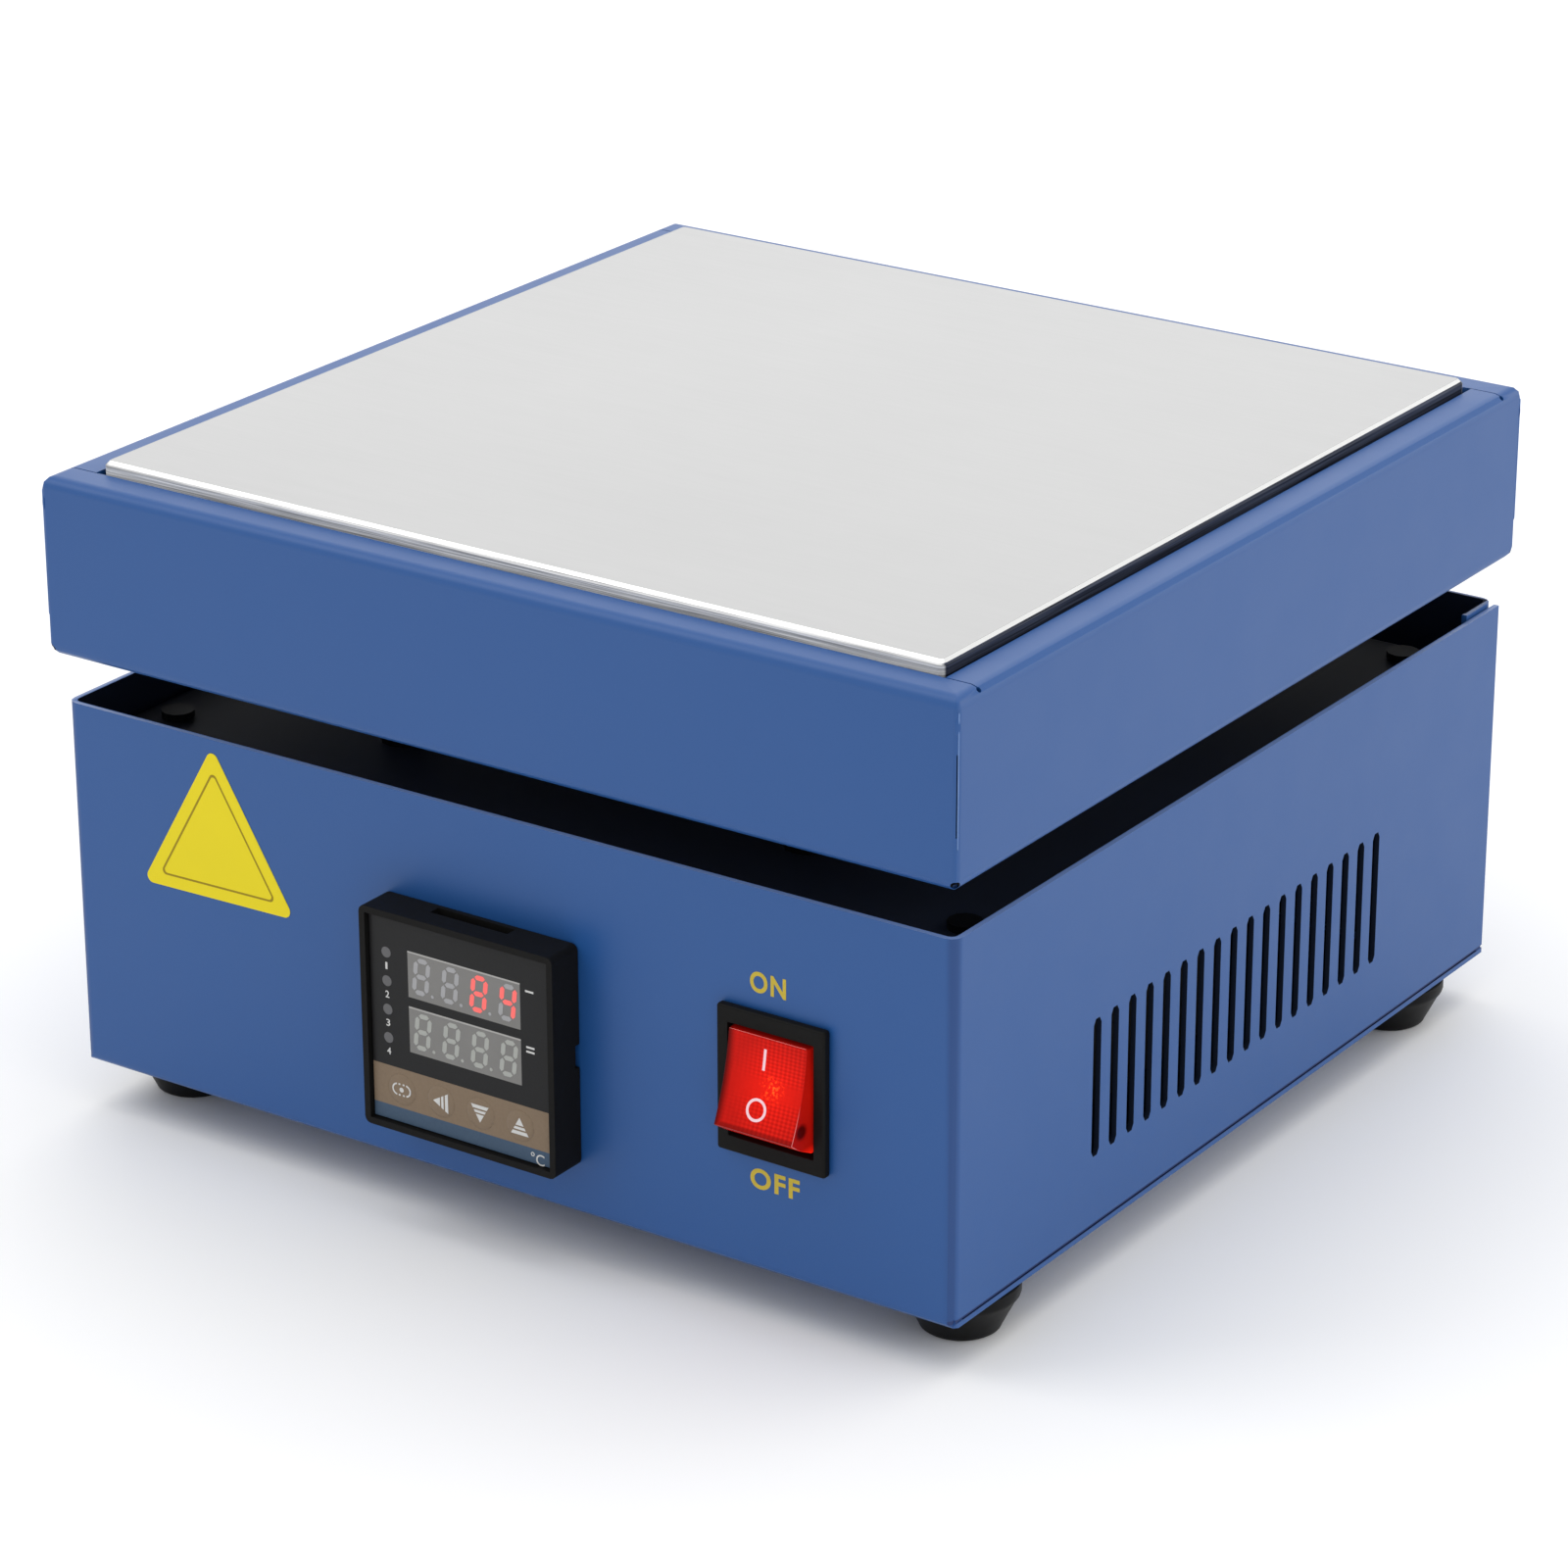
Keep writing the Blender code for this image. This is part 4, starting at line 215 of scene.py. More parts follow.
class Look:
    """A Principled material with the few nodes that its finish needs."""

    def __init__(self, name, colour, roughness, metallic=0.0, **values):
        self.material = bpy.data.materials.new(name)
        self.material.use_nodes = True
        self.nodes = self.material.node_tree.nodes
        self.shader = self.nodes["Principled BSDF"]
        values.update({"Base Color": (*colour, 1.0), "Roughness": roughness, "Metallic": metallic})
        for key, value in values.items():
            self.set(key.replace("_", " "), value)
        self.place = self.nodes.new("ShaderNodeTexCoord").outputs["Object"]

    def give(self, socket, value):
        """Links a node's output to a socket, or gives the socket a value of its own."""
        if isinstance(value, bpy.types.NodeSocket):
            self.material.node_tree.links.new(value, socket)
        else:
            socket.default_value = value

    def set(self, key, value):
        self.give(self.shader.inputs[key], value)

    def node(self, kind, **values):
        node = self.nodes.new(kind)
        for key, value in values.items():
            self.give(node.inputs[key.replace("_", " ")], value)
        return node

    def noise(self, scale, detail=3.0, stretch=None, rough=0.5):
        place = self.place
        if stretch:
            place = self.node("ShaderNodeMapping", Scale=stretch, Vector=place).outputs["Vector"]
        node = self.node("ShaderNodeTexNoise", Scale=scale, Detail=detail, Roughness=rough, Vector=place)
        return node.outputs["Fac"]

    def math(self, operation, first, second=0.0):
        node = self.nodes.new("ShaderNodeMath")
        node.operation = operation
        for socket, value in zip(node.inputs, (first, second)):
            self.give(socket, value)
        return node.outputs[0]

    def plus(self, first, second):
        return self.math("ADD", first, second)

    def minus(self, first, second):
        return self.math("SUBTRACT", first, second)

    def times(self, *factors):
        result = factors[0]
        for factor in factors[1:]:
            result = self.math("MULTIPLY", result, factor)
        return result

    def most(self, first, second):
        return self.math("MAXIMUM", first, second)

    def size(self, value):
        return self.math("ABSOLUTE", value)

    def distance(self, first, second):
        """Length of the line with these two legs."""
        return self.math("SQRT", self.plus(self.times(first, first), self.times(second, second)))

    def above(self, value, limit):
        """1 where the value is over the limit, else 0."""
        return self.math("GREATER_THAN", value, limit)

    def below(self, value, limit):
        return self.math("LESS_THAN", value, limit)

    def spread(self, source, low, high, from_low=0.0, from_high=1.0):
        """Stretches a source's range to run from low to high, and stops at both."""
        node = self.node("ShaderNodeMapRange", Value=source, From_Min=from_low, From_Max=from_high,
                         To_Min=low, To_Max=high)
        return node.outputs["Result"]

    def ramp(self, source, zero, one):
        """0 where the source has its first value, 1 where it has its second one."""
        return self.spread(source, 0.0, 1.0, zero, one)

    def blend(self, factor, first, second):
        """Mix of two colours; each is a colour or a node's output."""
        node = self.nodes.new("ShaderNodeMix")
        node.data_type = "RGBA"
        self.give(node.inputs["Factor"], factor)
        colours = [socket for socket in node.inputs if socket.type == "RGBA"]
        for socket, value in zip(colours, (first, second)):
            self.give(socket, (*value, 1.0) if isinstance(value, tuple) else value)
        return next(socket for socket in node.outputs if socket.type == "RGBA")

    def bump(self, height, distance, strength):
        node = self.node("ShaderNodeBump", Strength=strength, Distance=distance, Height=height)
        self.set("Normal", node.outputs["Normal"])

    def tint(self, scale, first, second, detail=3.0):
        """Base colour that drifts between two colours."""
        self.set("Base Color", self.blend(self.noise(scale, detail), first, second))

    def roughen(self, scale, low, high):
        self.set("Roughness", self.spread(self.noise(scale), low, high))

    def axis(self, source, index):
        return self.node("ShaderNodeSeparateXYZ", Vector=source).outputs[index]

    def at(self, index):
        """Place along an axis of the frame."""
        return self.axis(self.place, index)

    def facing(self, index):
        """How far the surface faces along an axis, from -1 to 1."""
        return self.axis(self.nodes.new("ShaderNodeNewGeometry").outputs["Normal"], index)


BLUE = (0.0105, 0.0765, 0.268)
BLUE_DEEP = (0.0095, 0.0715, 0.252)
BLUE_SPECK = (0.030, 0.115, 0.330)
# painted shade for the upright bends of the housing
BLUE_BEND_SHADE = (0.006, 0.040, 0.165)
# painted highlight for the housing's top rim
BLUE_RIM_HIGHLIGHT = (0.16, 0.25, 0.50)
# painted shade for the seam over the housing's base
BLUE_SEAM_SHADE = (0.005, 0.026, 0.125)
# painted highlight for the ridges along the tray's corner seams
RIDGE_HIGHLIGHT_BLUE = (0.060, 0.150, 0.380)
RIDGE_HIGHLIGHT_PALE = (0.150, 0.260, 0.520)
# painted shade for inner faces and slot walls
INSIDE_SHADE = (0.007, 0.012, 0.026)
# painted shade for the tray's relief holes
HOLE_SHADE = (0.001, 0.0015, 0.003)
PAINT_GLOSS = 0.45


def base_paint(name):
    """Blue baked paint, cloudy and finely specked; returns the look and its colour."""
    look = Look(name, BLUE, 0.40, Specular_IOR_Level=PAINT_GLOSS)
    cloudy = look.blend(look.noise(9.0), BLUE_DEEP, BLUE)
    speck = look.spread(look.noise(5200.0, 1.0), 0.0, 0.10, 0.35, 0.75)
    return look, look.blend(speck, cloudy, BLUE_SPECK)


def inner_paint(look, colour, node):
    """Darkens the inner faces of a folded sheet and the walls of its slots as painted shade; returns where
    they are and the colour.
    """
    shaded_inside = inner_faces(look, node)
    look.set("Specular IOR Level", look.spread(shaded_inside, PAINT_GLOSS, 0.12))
    return shaded_inside, look.blend(shaded_inside, colour, INSIDE_SHADE)


def finish_paint(look, colour, shaded_inside=0.0):
    """Sets the colour, a roughness that is dull where the inner faces carry painted shade, and a faint orange
    peel.
    """
    look.set("Base Color", colour)
    look.set("Roughness", look.most(look.spread(look.noise(70.0, 4.0), 0.37, 0.47), look.times(shaded_inside, 0.85)))
    look.bump(look.plus(look.noise(1300.0, 2.0), look.times(look.noise(240.0, 2.0), 0.6)), 0.015 * MM, 0.30)
    return look.material


def tray_paint():
    """The tray's paint, with a painted-shade dark disc at the relief hole low at each corner."""
    look, colour = base_paint("blue_baked_paint")
    across = look.minus(look.size(look.at(X)), TRAY_HIGH.x - HOLE_INSET)
    along = look.minus(look.size(look.minus(look.at(Y), TRAY_MIDDLE_Y)),
                       TRAY_HIGH.y - TRAY_MIDDLE_Y - HOLE_INSET)
    away = look.distance(look.distance(across, along), look.minus(look.at(Z), TRAY_LOW.z + HOLE_RISE))
    # painted shade: a dark disc where the relief hole is
    hole = look.below(away, HOLE_RADIUS)
    look.set("Specular IOR Level", look.spread(hole, PAINT_GLOSS, 0.02))
    return finish_paint(look, look.blend(hole, colour, HOLE_SHADE))


def housing_paint():
    """The housing's paint: painted shade, a deeper blue, on the bends, a painted highlight on the top rim,
    and painted shade along the seam over the base.
    """
    look, colour = base_paint("blue_housing_paint")
    # painted shade: a deeper blue where the faces turn on the upright bends
    turn = look.size(look.times(look.facing(X), look.facing(Y)))
    colour = look.blend(look.spread(turn, 0.0, 0.62, 0.08, 0.45), colour, BLUE_BEND_SHADE)
    shaded_inside, colour = inner_paint(look, colour, "lower_housing")
    # painted highlight: a pale line on the upward faces along the top rim
    rim_highlight = look.times(look.ramp(look.facing(Z), 0.7, 0.95), look.above(look.at(Z), HOUSING_HIGH.z - 0.4 * MM))
    colour = look.blend(rim_highlight, colour, BLUE_RIM_HIGHLIGHT)
    # painted shade: a dark band along the seam between the sides and the base
    level = look.size(look.minus(look.at(Z), BASE_Z + SHEET + 0.3 * MM))
    seam_shade = look.times(look.below(level, 0.42 * MM), look.above(look.size(look.facing(X)), 0.5))
    return finish_paint(look, look.blend(seam_shade, colour, BLUE_SEAM_SHADE), shaded_inside)


def rear_paint():
    look, colour = base_paint("blue_rear_paint")
    # painted shade on the inner faces and slot walls
    shaded_inside, colour = inner_paint(look, colour, "rear_panel")
    return finish_paint(look, colour, shaded_inside)


def inner_faces(look, node):
    """Where painted shade goes: 1 on the inner faces of a folded sheet and on the walls of its slots and
    seams, 0 on its outer faces.
    """
    low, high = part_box(node)
    x, y, z = look.size(look.at(X)), look.at(Y), look.at(Z)
    limits = (look.below(x, high.x - 0.7 * SHEET),
              look.above(y, low.y + 0.7 * SHEET),
              look.below(y, high.y - 0.7 * SHEET),
              look.above(z, low.z + 0.7 * SHEET))
    cuts = (look.above(x, high.x - 1.2 * SHEET),
            look.below(look.size(look.facing(X)), 0.97),
            look.above(y, low.y + 4.0 * MM),
            look.below(y, high.y - 2.0 * SHEET),
            look.above(z, low.z + 0.1 * MM),
            look.below(z, high.z - 2.0 * SHEET))
    return look.most(look.times(*limits), look.times(*cuts))


def dark_paint_look():
    """Dark sheet under the air gap; its near-black colour also stands in for shade in the gap, and painted
    shade makes it darkest at its rear and left.
    """
    look = Look("heat_shield_painted_shade", (0.009, 0.014, 0.027), 0.70, Specular_IOR_Level=0.15)
    # painted shade: darker towards the rear and the left
    rear_shade = look.ramp(look.at(Y), 0.0, 80.0 * MM)
    left = look.ramp(look.at(X), -60.0 * MM, -95.0 * MM)
    mottle = look.blend(look.noise(30.0), (0.014, 0.018, 0.031), (0.018, 0.024, 0.041))
    look.set("Base Color", look.blend(look.most(rear_shade, left), mottle, (0.0022, 0.003, 0.006)))
    look.bump(look.noise(1500.0, 2.0), 0.01 * MM, 0.3)
    return look.material


def plate_look():
    """Ground aluminium: a satin top, a near-white chamfer as a painted highlight, and milled sides with
    streaks along them, painted lighter at the front and painted dark with a bluish painted reflection on the
    flanks.
    """
    look = Look("ground_aluminium", (0.40, 0.40, 0.40), 0.30, 1.0)
    up = look.ramp(look.facing(Z), 0.30, 0.60)
    sideways = look.minus(1.0, up)
    forward = look.ramp(look.size(look.facing(Y)), 0.3, 0.6)
    top = look.times(up, look.above(look.at(Z), PLATE_TOP - 0.60 * MM))
    chamfer_highlight = look.times(top, look.below(look.facing(Z), 0.9))
    grain = look.noise(1.0, 3.0, (60.0, 2600.0, 60.0))
    satin = look.blend(look.noise(7.0), (0.365, 0.365, 0.366), (0.405, 0.405, 0.404))
    streak = look.noise(1.0, 4.0, (26.0, 26.0, 3400.0), 0.65)
    streaks = look.ramp(streak, 0.38, 0.66)
    # painted light: the front sides lighter, the flanks near black with a bluish painted reflection
    front = look.blend(streaks, (0.30, 0.30, 0.305), (0.95, 0.95, 0.94))
    shaded_flank = look.blend(streaks, (0.004, 0.005, 0.010), (0.050, 0.060, 0.095))
    colour = look.blend(top, look.blend(forward, shaded_flank, front), satin)
    # painted highlight: the chamfer near white
    look.set("Base Color", look.blend(chamfer_highlight, colour, (0.90, 0.90, 0.89)))
    look.set("Metallic", top)
    look.set("Specular IOR Level", look.spread(forward, 0.12, 0.5))
    look.set("Roughness", look.plus(look.times(look.spread(grain, 0.27, 0.36), up),
                                    look.times(look.spread(streak, 0.30, 0.55), sideways)))
    look.bump(look.plus(look.times(grain, up), look.times(streak, sideways)), 0.006 * MM, 0.35)
    return look.material


def plastic_look(name, colour, roughness=0.46, grain=0.35):
    """Moulded plastic with a fine spark-eroded grain."""
    look = Look(name, colour, roughness, Specular_IOR_Level=0.07)
    look.tint(800.0, colour, tuple(min(1.0, c * 1.35 + 0.001) for c in colour))
    look.roughen(120.0, roughness - 0.05, roughness + 0.06)
    look.bump(look.noise(4200.0, 2.0), 0.02 * MM, grain)
    return look.material


def metal_look(name, colour, roughness):
    """Drawn metal with a fine upright grain."""
    look = Look(name, colour, roughness, 1.0)
    grain = look.noise(1.0, 3.0, (900.0, 900.0, 60.0))
    look.set("Base Color", look.blend(grain, scaled(colour, 0.78), colour))
    look.set("Roughness", look.spread(grain, roughness - 0.06, roughness + 0.10))
    look.bump(grain, 0.01 * MM, 0.2)
    return look.material


def rubber_look():
    look = Look("foot_rubber", (0.004, 0.004, 0.0042), 0.44, Specular_IOR_Level=0.14)
    look.tint(350.0, (0.003, 0.003, 0.0032), (0.006, 0.006, 0.0062), 4.0)
    look.roughen(180.0, 0.36, 0.56)
    look.bump(look.noise(2600.0), 0.02 * MM, 0.35)
    return look.material


def taupe(look):
    """Colour of the film's key band and of the keys."""
    return look.blend(look.noise(1800.0, 2.0), srgb(119, 102, 84), srgb(128, 111, 92))


def film_look():
    """Front film: charcoal field, taupe key band and slate strip under it."""
    look = Look("front_film", srgb(42, 42, 43), 0.34, Specular_IOR_Level=0.17)
    z = look.at(Z)
    field = look.blend(look.noise(2600.0, 2.0), (0.0105, 0.0105, 0.011), (0.0145, 0.0145, 0.015))
    slate = look.blend(look.noise(1800.0, 2.0), srgb(58, 76, 97), srgb(66, 86, 107))
    colour = look.blend(look.below(z, CONTROL_Z + TAUPE_TOP), field, taupe(look))
    look.set("Base Color", look.blend(look.below(z, CONTROL_Z + SLATE_TOP), colour, slate))
    look.bump(look.noise(3200.0, 2.0), 0.008 * MM, 0.25)
    return look.material


def key_look():
    look = Look("key_film", srgb(128, 110, 94), 0.36, Specular_IOR_Level=0.2)
    look.set("Base Color", taupe(look))
    look.bump(look.noise(3200.0, 2.0), 0.008 * MM, 0.25)
    return look.material


def window_look():
    """Smoked window over the digit block, with a lighter line along its upper edge."""
    look = Look("display_face", srgb(122, 121, 119), 0.30, Specular_IOR_Level=0.2)
    colour = look.blend(look.noise(160.0), srgb(117, 116, 114), srgb(126, 125, 123))
    for base in WINDOW_BASES:
        away = look.size(look.minus(look.at(Z), CONTROL_Z + base + WINDOW_HEIGHT - 0.2 * MM))
        colour = look.blend(look.below(away, 0.16 * MM), colour, srgb(165, 164, 161))
    look.set("Base Color", colour)
    look.bump(look.noise(1500.0), 0.006 * MM, 0.2)
    return look.material


def segment_look(name, colour, **glow):
    look = Look(name, colour, 0.35, **glow)
    look.tint(1400.0, colour, scaled(colour, 1.12))
    return look.material


def rocker_grid(look, x, z, front):
    """Moulded ribs seen through the face, both ways: smooth near its middle and faint at its left."""
    ribs = look.plus(look.math("SINE", look.times(look.at(X), tau / RIB_PITCH[0])),
                     look.math("SINE", look.times(look.at(Z), tau / RIB_PITCH[1])))
    smooth = look.spread(look.size(look.minus(z, 1.6 * MM)), 0.1, 1.0, 1.2 * MM, 2.6 * MM)
    left = look.spread(x, 0.25, 1.0, -5.0 * MM, 1.0 * MM)
    return look.times(ribs, smooth, front, left)


def rocker_dark(look, x, y, z, front):
    """Painted shade: dark left margin, recess behind the upper edge, and foot of the face."""
    margin = look.ramp(x, -7.2 * MM, -8.7 * MM)
    recess = look.ramp(y, ROCKER_TOP.y - 0.2 * MM, ROCKER_TOP.y + 0.6 * MM)
    upper = look.ramp(z, ROCKER_TOP.z - 0.4 * MM, ROCKER_TOP.z)
    foot = look.spread(z, 0.55, 0.0, ROCKER_FOOT.z + 0.7 * MM, ROCKER_FOOT.z + 1.1 * MM)
    dark = look.most(look.times(margin, 0.9), look.times(recess, upper, 0.8))
    return look.most(dark, look.times(foot, front))


def rocker_gleam(look, x, y, z):
    """Painted highlights: pale lines along the upper edge, faint along the lower one, and low along the right
    one.
    """
    turned = look.facing(X)
    lines = []
    for tip, reach, strength in ((ROCKER_TOP, 0.12 * MM, 1.0), (ROCKER_FOOT, 0.17 * MM, 0.15)):
        away = look.distance(look.minus(y, tip.y), look.minus(z, tip.z))
        lines.append(look.times(look.below(away, reach), look.below(turned, 0.3), strength))
    side = look.times(look.below(look.size(look.minus(x, ROCKER_HALF_FRONT)), 0.06 * MM),
                      look.ramp(z, 0.5 * MM, -6.0 * MM), look.below(z, ROCKER_TOP.z - 0.3 * MM),
                      look.ramp(turned, 0.1, 0.3), look.below(turned, 0.93), 0.75)
    return look.most(look.most(*lines), side)


def rocker_look():
    """Red plastic, lit from behind by its lamp, with painted shade, a painted shadow and dimmer glow on the
    right flank, and painted highlights and glints; x, y and z run from the rocker's pivot.
    """
    look = Look("rocker_red", (0.30, 0.003, 0.002), 0.25, Specular_IOR_Level=0.06)
    x, y, z = (look.minus(look.at(axis), ROCKER_PIVOT[axis]) for axis in (X, Y, Z))
    front = look.ramp(look.facing(Y), -0.5, -0.8)
    shaded_flank = look.ramp(look.facing(X), 0.6, 0.9)
    grid = rocker_grid(look, x, z, front)
    tone = look.ramp(look.plus(grid, look.noise(900.0)), -1.0, 2.6)
    dark = rocker_dark(look, x, y, z, front)
    # painted shadow: a dark spot on the right flank, which also dims the glow there
    spot = look.distance(look.minus(y, FLANK_SPOT[0]), look.minus(z, FLANK_SPOT[1]))
    flank_shadow = look.times(look.spread(spot, 0.95, 0.0, 1.0 * MM, 2.0 * MM), shaded_flank)
    colour = look.blend(tone, (0.26, 0.003, 0.002), (0.42, 0.009, 0.006))
    # painted shade over the left margin, the recess and the foot
    colour = look.blend(dark, colour, (0.045, 0.001, 0.001))
    colour = look.blend(flank_shadow, colour, (0.06, 0.001, 0.001))
    # painted highlights along the edges
    painted_highlight = look.times(rocker_gleam(look, x, y, z), 0.8)
    look.set("Base Color", look.blend(painted_highlight, colour, (0.80, 0.42, 0.40)))
    lamp = look.distance(look.minus(x, ROCKER_LAMP[0]), look.minus(z, ROCKER_LAMP[1]))
    glow = look.spread(lamp, 0.62, 0.22, 0.0, 10.0 * MM)
    heel = look.spread(z, 0.8, 0.0, -10.3 * MM, -8.6 * MM)
    # painted highlights: bright glints given as light near the lamp's brightest spot
    painted_glints = look.times(look.ramp(lamp, 3.2 * MM, 0.6 * MM),
                        look.ramp(look.noise(1500.0, 2.0), 0.52, 0.66), front)
    strength = look.times(look.plus(glow, heel), look.spread(tone, 0.8, 1.2), look.spread(dark, 1.0, 0.12),
                          look.spread(flank_shadow, 1.0, 0.1), look.spread(shaded_flank, 1.0, 0.60))
    look.set("Emission Color", look.blend(painted_glints, (1.0, 0.012, 0.002), (1.0, 0.085, 0.010)))
    look.set("Emission Strength", look.plus(strength, painted_glints))
    look.bump(look.times(grid, 0.5), 0.05 * MM, 0.35)
    return look.material


def ink_look(name, colour, roughness):
    """Screen print: slightly uneven ink."""
    look = Look(name, colour, roughness)
    look.tint(1500.0, scaled(colour, 0.86), colour)
    look.bump(look.noise(3000.0), 0.006 * MM, 0.3)
    return look.material


def vinyl_look(name, colour):
    look = Look(name, colour, 0.38, Specular_IOR_Level=0.2)
    look.tint(60.0, scaled(colour, 0.93), colour)
    look.roughen(400.0, 0.28, 0.40)
    look.bump(look.noise(500.0, 2.0), 0.01 * MM, 0.15)
    return look.material


def fibre_look():
    look = Look("ceramic_fibre", (0.72, 0.69, 0.62), 0.95)
    fibres = look.noise(220.0, 6.0, (1.0, 1.0, 4.0))
    look.set("Base Color", look.blend(fibres, (0.55, 0.52, 0.46), (0.80, 0.77, 0.71)))
    look.bump(look.noise(420.0, 6.0, (1.0, 1.0, 3.0)), 0.4 * MM, 0.6)
    return look.material


def board_look():
    look = Look("circuit_board", srgb(26, 92, 52), 0.40, Coat_Weight=0.2)
    tracks = look.ramp(look.noise(260.0, 0.0, (1.0, 1.0, 3.0)), 0.52, 0.54)
    look.set("Base Color", look.blend(tracks, srgb(22, 84, 46), srgb(36, 112, 66)))
    look.bump(tracks, 0.02 * MM, 0.4)
    return look.material


def glass_look():
    look = Look("fuse_glass", (0.85, 0.88, 0.88), 0.06, Transmission_Weight=0.85, IOR=1.5)
    look.roughen(300.0, 0.04, 0.10)
    return look.material


def floor_look():
    look = Look("studio_floor", (0.92, 0.92, 0.92), 0.8, Specular_IOR_Level=0.1)
    look.tint(3.0, (0.915, 0.915, 0.917), (0.93, 0.93, 0.932))
    return look.material


# Mesh helpers

def add(name, data):
    """A new object in the scene."""
    obj = bpy.data.objects.new(name, data)
    bpy.context.scene.collection.objects.link(obj)
    return obj


def add_mesh(name, bm, material):
    mesh = bpy.data.meshes.new(name)
    bm.to_mesh(mesh)
    bm.free()
    mesh.materials.append(material)
    return add(name, mesh)


def piece(name, bm, material, body="chassis", replaces=(), smooth=True):
    """A finished mesh object that rides on a body of the frame."""
    bmesh.ops.recalc_face_normals(bm, faces=bm.faces)
    obj = add_mesh(name, bm, material)
    if smooth:
        obj.data.shade_smooth()
        obj.data.set_sharp_from_angle(angle=radians(35.0))
    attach(obj, body)
    if replaces:
        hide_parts(*replaces)
    return obj


def soften(obj, width, segments=2):
    """Fine rounding of the edges."""
    obj.modifiers.new("weld", "WELD").merge_threshold = 0.004 * MM
    bevel = obj.modifiers.new("edges", "BEVEL")
    bevel.width = width
    bevel.segments = segments
    bevel.limit_method = "ANGLE"
    bevel.angle_limit = radians(BEND_ANGLE)
    bevel.harden_normals = True
    bevel.use_clamp_overlap = True


def bend_shading():
    """Smooth shading over the bends and fine roundings, with the real corners left sharp."""
    group = bpy.data.node_groups.new("bend_shading", "GeometryNodeTree")
    for way in ("INPUT", "OUTPUT"):
        group.interface.new_socket("Geometry", in_out=way, socket_type="NodeSocketGeometry")
    nodes, links = group.nodes, group.links
    plain = nodes.new("GeometryNodeRemoveAttribute")
    plain.inputs["Name"].default_value = "custom_normal"
    faces, edges = (nodes.new("GeometryNodeSetShadeSmooth") for _ in range(2))
    faces.domain, edges.domain = "FACE", "EDGE"
    edges.inputs["Shade Smooth"].default_value = False
    steep = nodes.new("FunctionNodeCompare")
    steep.operation = "GREATER_THAN"
    steep.inputs["B"].default_value = radians(BEND_ANGLE)
    links.new(nodes.new("GeometryNodeInputMeshEdgeAngle").outputs["Unsigned Angle"], steep.inputs["A"])
    links.new(steep.outputs["Result"], edges.inputs["Selection"])
    chain = (nodes.new("NodeGroupInput"), plain, faces, edges, nodes.new("NodeGroupOutput"))
    for first, second in zip(chain, chain[1:]):
        links.new(first.outputs["Geometry"], second.inputs["Geometry"])
    return group


BEND_SHADING = bend_shading()


def smooth_bends(obj):
    obj.modifiers.new("shading", "NODES").node_group = BEND_SHADING
    obj.modifiers.new("weights", "WEIGHTED_NORMAL").keep_sharp = True


def plaque(bm, outline, back, front):
    """Adds a closed plate with an outline of (x, z) points between two depths along Y."""
    rings = [[bm.verts.new((x, y, z)) for x, z in outline] for y in (front, back)]
    bm.faces.new(rings[0])
    bm.faces.new(rings[1][::-1])
    count = len(outline)
    for index in range(count):
        other = (index + 1) % count
        bm.faces.new((rings[0][index], rings[1][index], rings[1][other], rings[0][other]))


def ring_plaque(bm, outer, inner, back, front):
    """Adds a closed frame between two outlines with as many points each."""
    rings = [[bm.verts.new((x, y, z)) for x, z in line] for y in (front, back) for line in (outer, inner)]
    front_outer, front_inner, back_outer, back_inner = rings
    count = len(outer)
    for index in range(count):
        other = (index + 1) % count
        for first, second in ((front_outer, front_inner), (back_inner, back_outer),
                              (back_outer, front_outer), (front_inner, back_inner)):
            bm.faces.new((first[index], first[other], second[other], second[index]))


def corner_at(points, index):
    """A corner, the directions to its two neighbours, and half the angle between them."""
    corner = Vector(points[index])
    before = (Vector(points[index - 1]) - corner).normalized()
    after = (Vector(points[(index + 1) % len(points)]) - corner).normalized()
    return corner, before, after, before.angle(after) / 2


def rounded(points, radius, steps=10):
    """Closed outline with each corner replaced by an arc of that radius."""
    outline = []
    for index in range(len(points)):
        corner, before, after, half = corner_at(points, index)
        reach = radius / tan(half)
        centre = corner + (before + after).normalized() * (radius / sin(half))
        start = corner + before * reach - centre
        end = corner + after * reach - centre
        sweep = start.angle_signed(end)
        for step in range(steps + 1):
            outline.append(centre + Matrix.Rotation(-sweep * step / steps, 2) @ start)
    return [tuple(p) for p in outline]


def inset(points, distance):
    """Corners of a closed outline whose sides move inwards by that distance."""
    moved = []
    for index in range(len(points)):
        corner, before, after, half = corner_at(points, index)
        moved.append(corner + (before + after).normalized() * distance / sin(half))
    return [tuple(p) for p in moved]


def rectangle(low_x, low_z, high_x, high_z):
    return [(low_x, low_z), (high_x, low_z), (high_x, high_z), (low_x, high_z)]


def circle(x, z, radius, count):
    return [(x + radius * cos(tau * i / count), z + radius * sin(tau * i / count)) for i in range(count)]


def turned_skin(bm, profile, place, count):
    """Adds a skin of revolution with a profile of (radius, height); place makes a point of u, v, height."""
    loops = []
    for radius, height in profile:
        angles = [tau * i / count for i in range(count if radius > TINY else 1)]
        points = [place(radius * cos(a), radius * sin(a), height) for a in angles]
        loops.append([bm.verts.new(point) for point in points])
    for first, second in zip(loops, loops[1:]):
        for i in range(count):
            j = (i + 1) % count
            corners = [loop[k % len(loop)] for loop, k in ((first, i), (first, j), (second, j), (second, i))]
            bm.faces.new(list(dict.fromkeys(corners)))
    return loops


def lathe(bm, profile, centre, count=72):
    """Adds a closed body of revolution round an upright axis; its profile runs from axis to axis."""
    turned_skin(bm, profile, lambda u, v, z: (centre[0] + u, centre[1] + v, z), count)


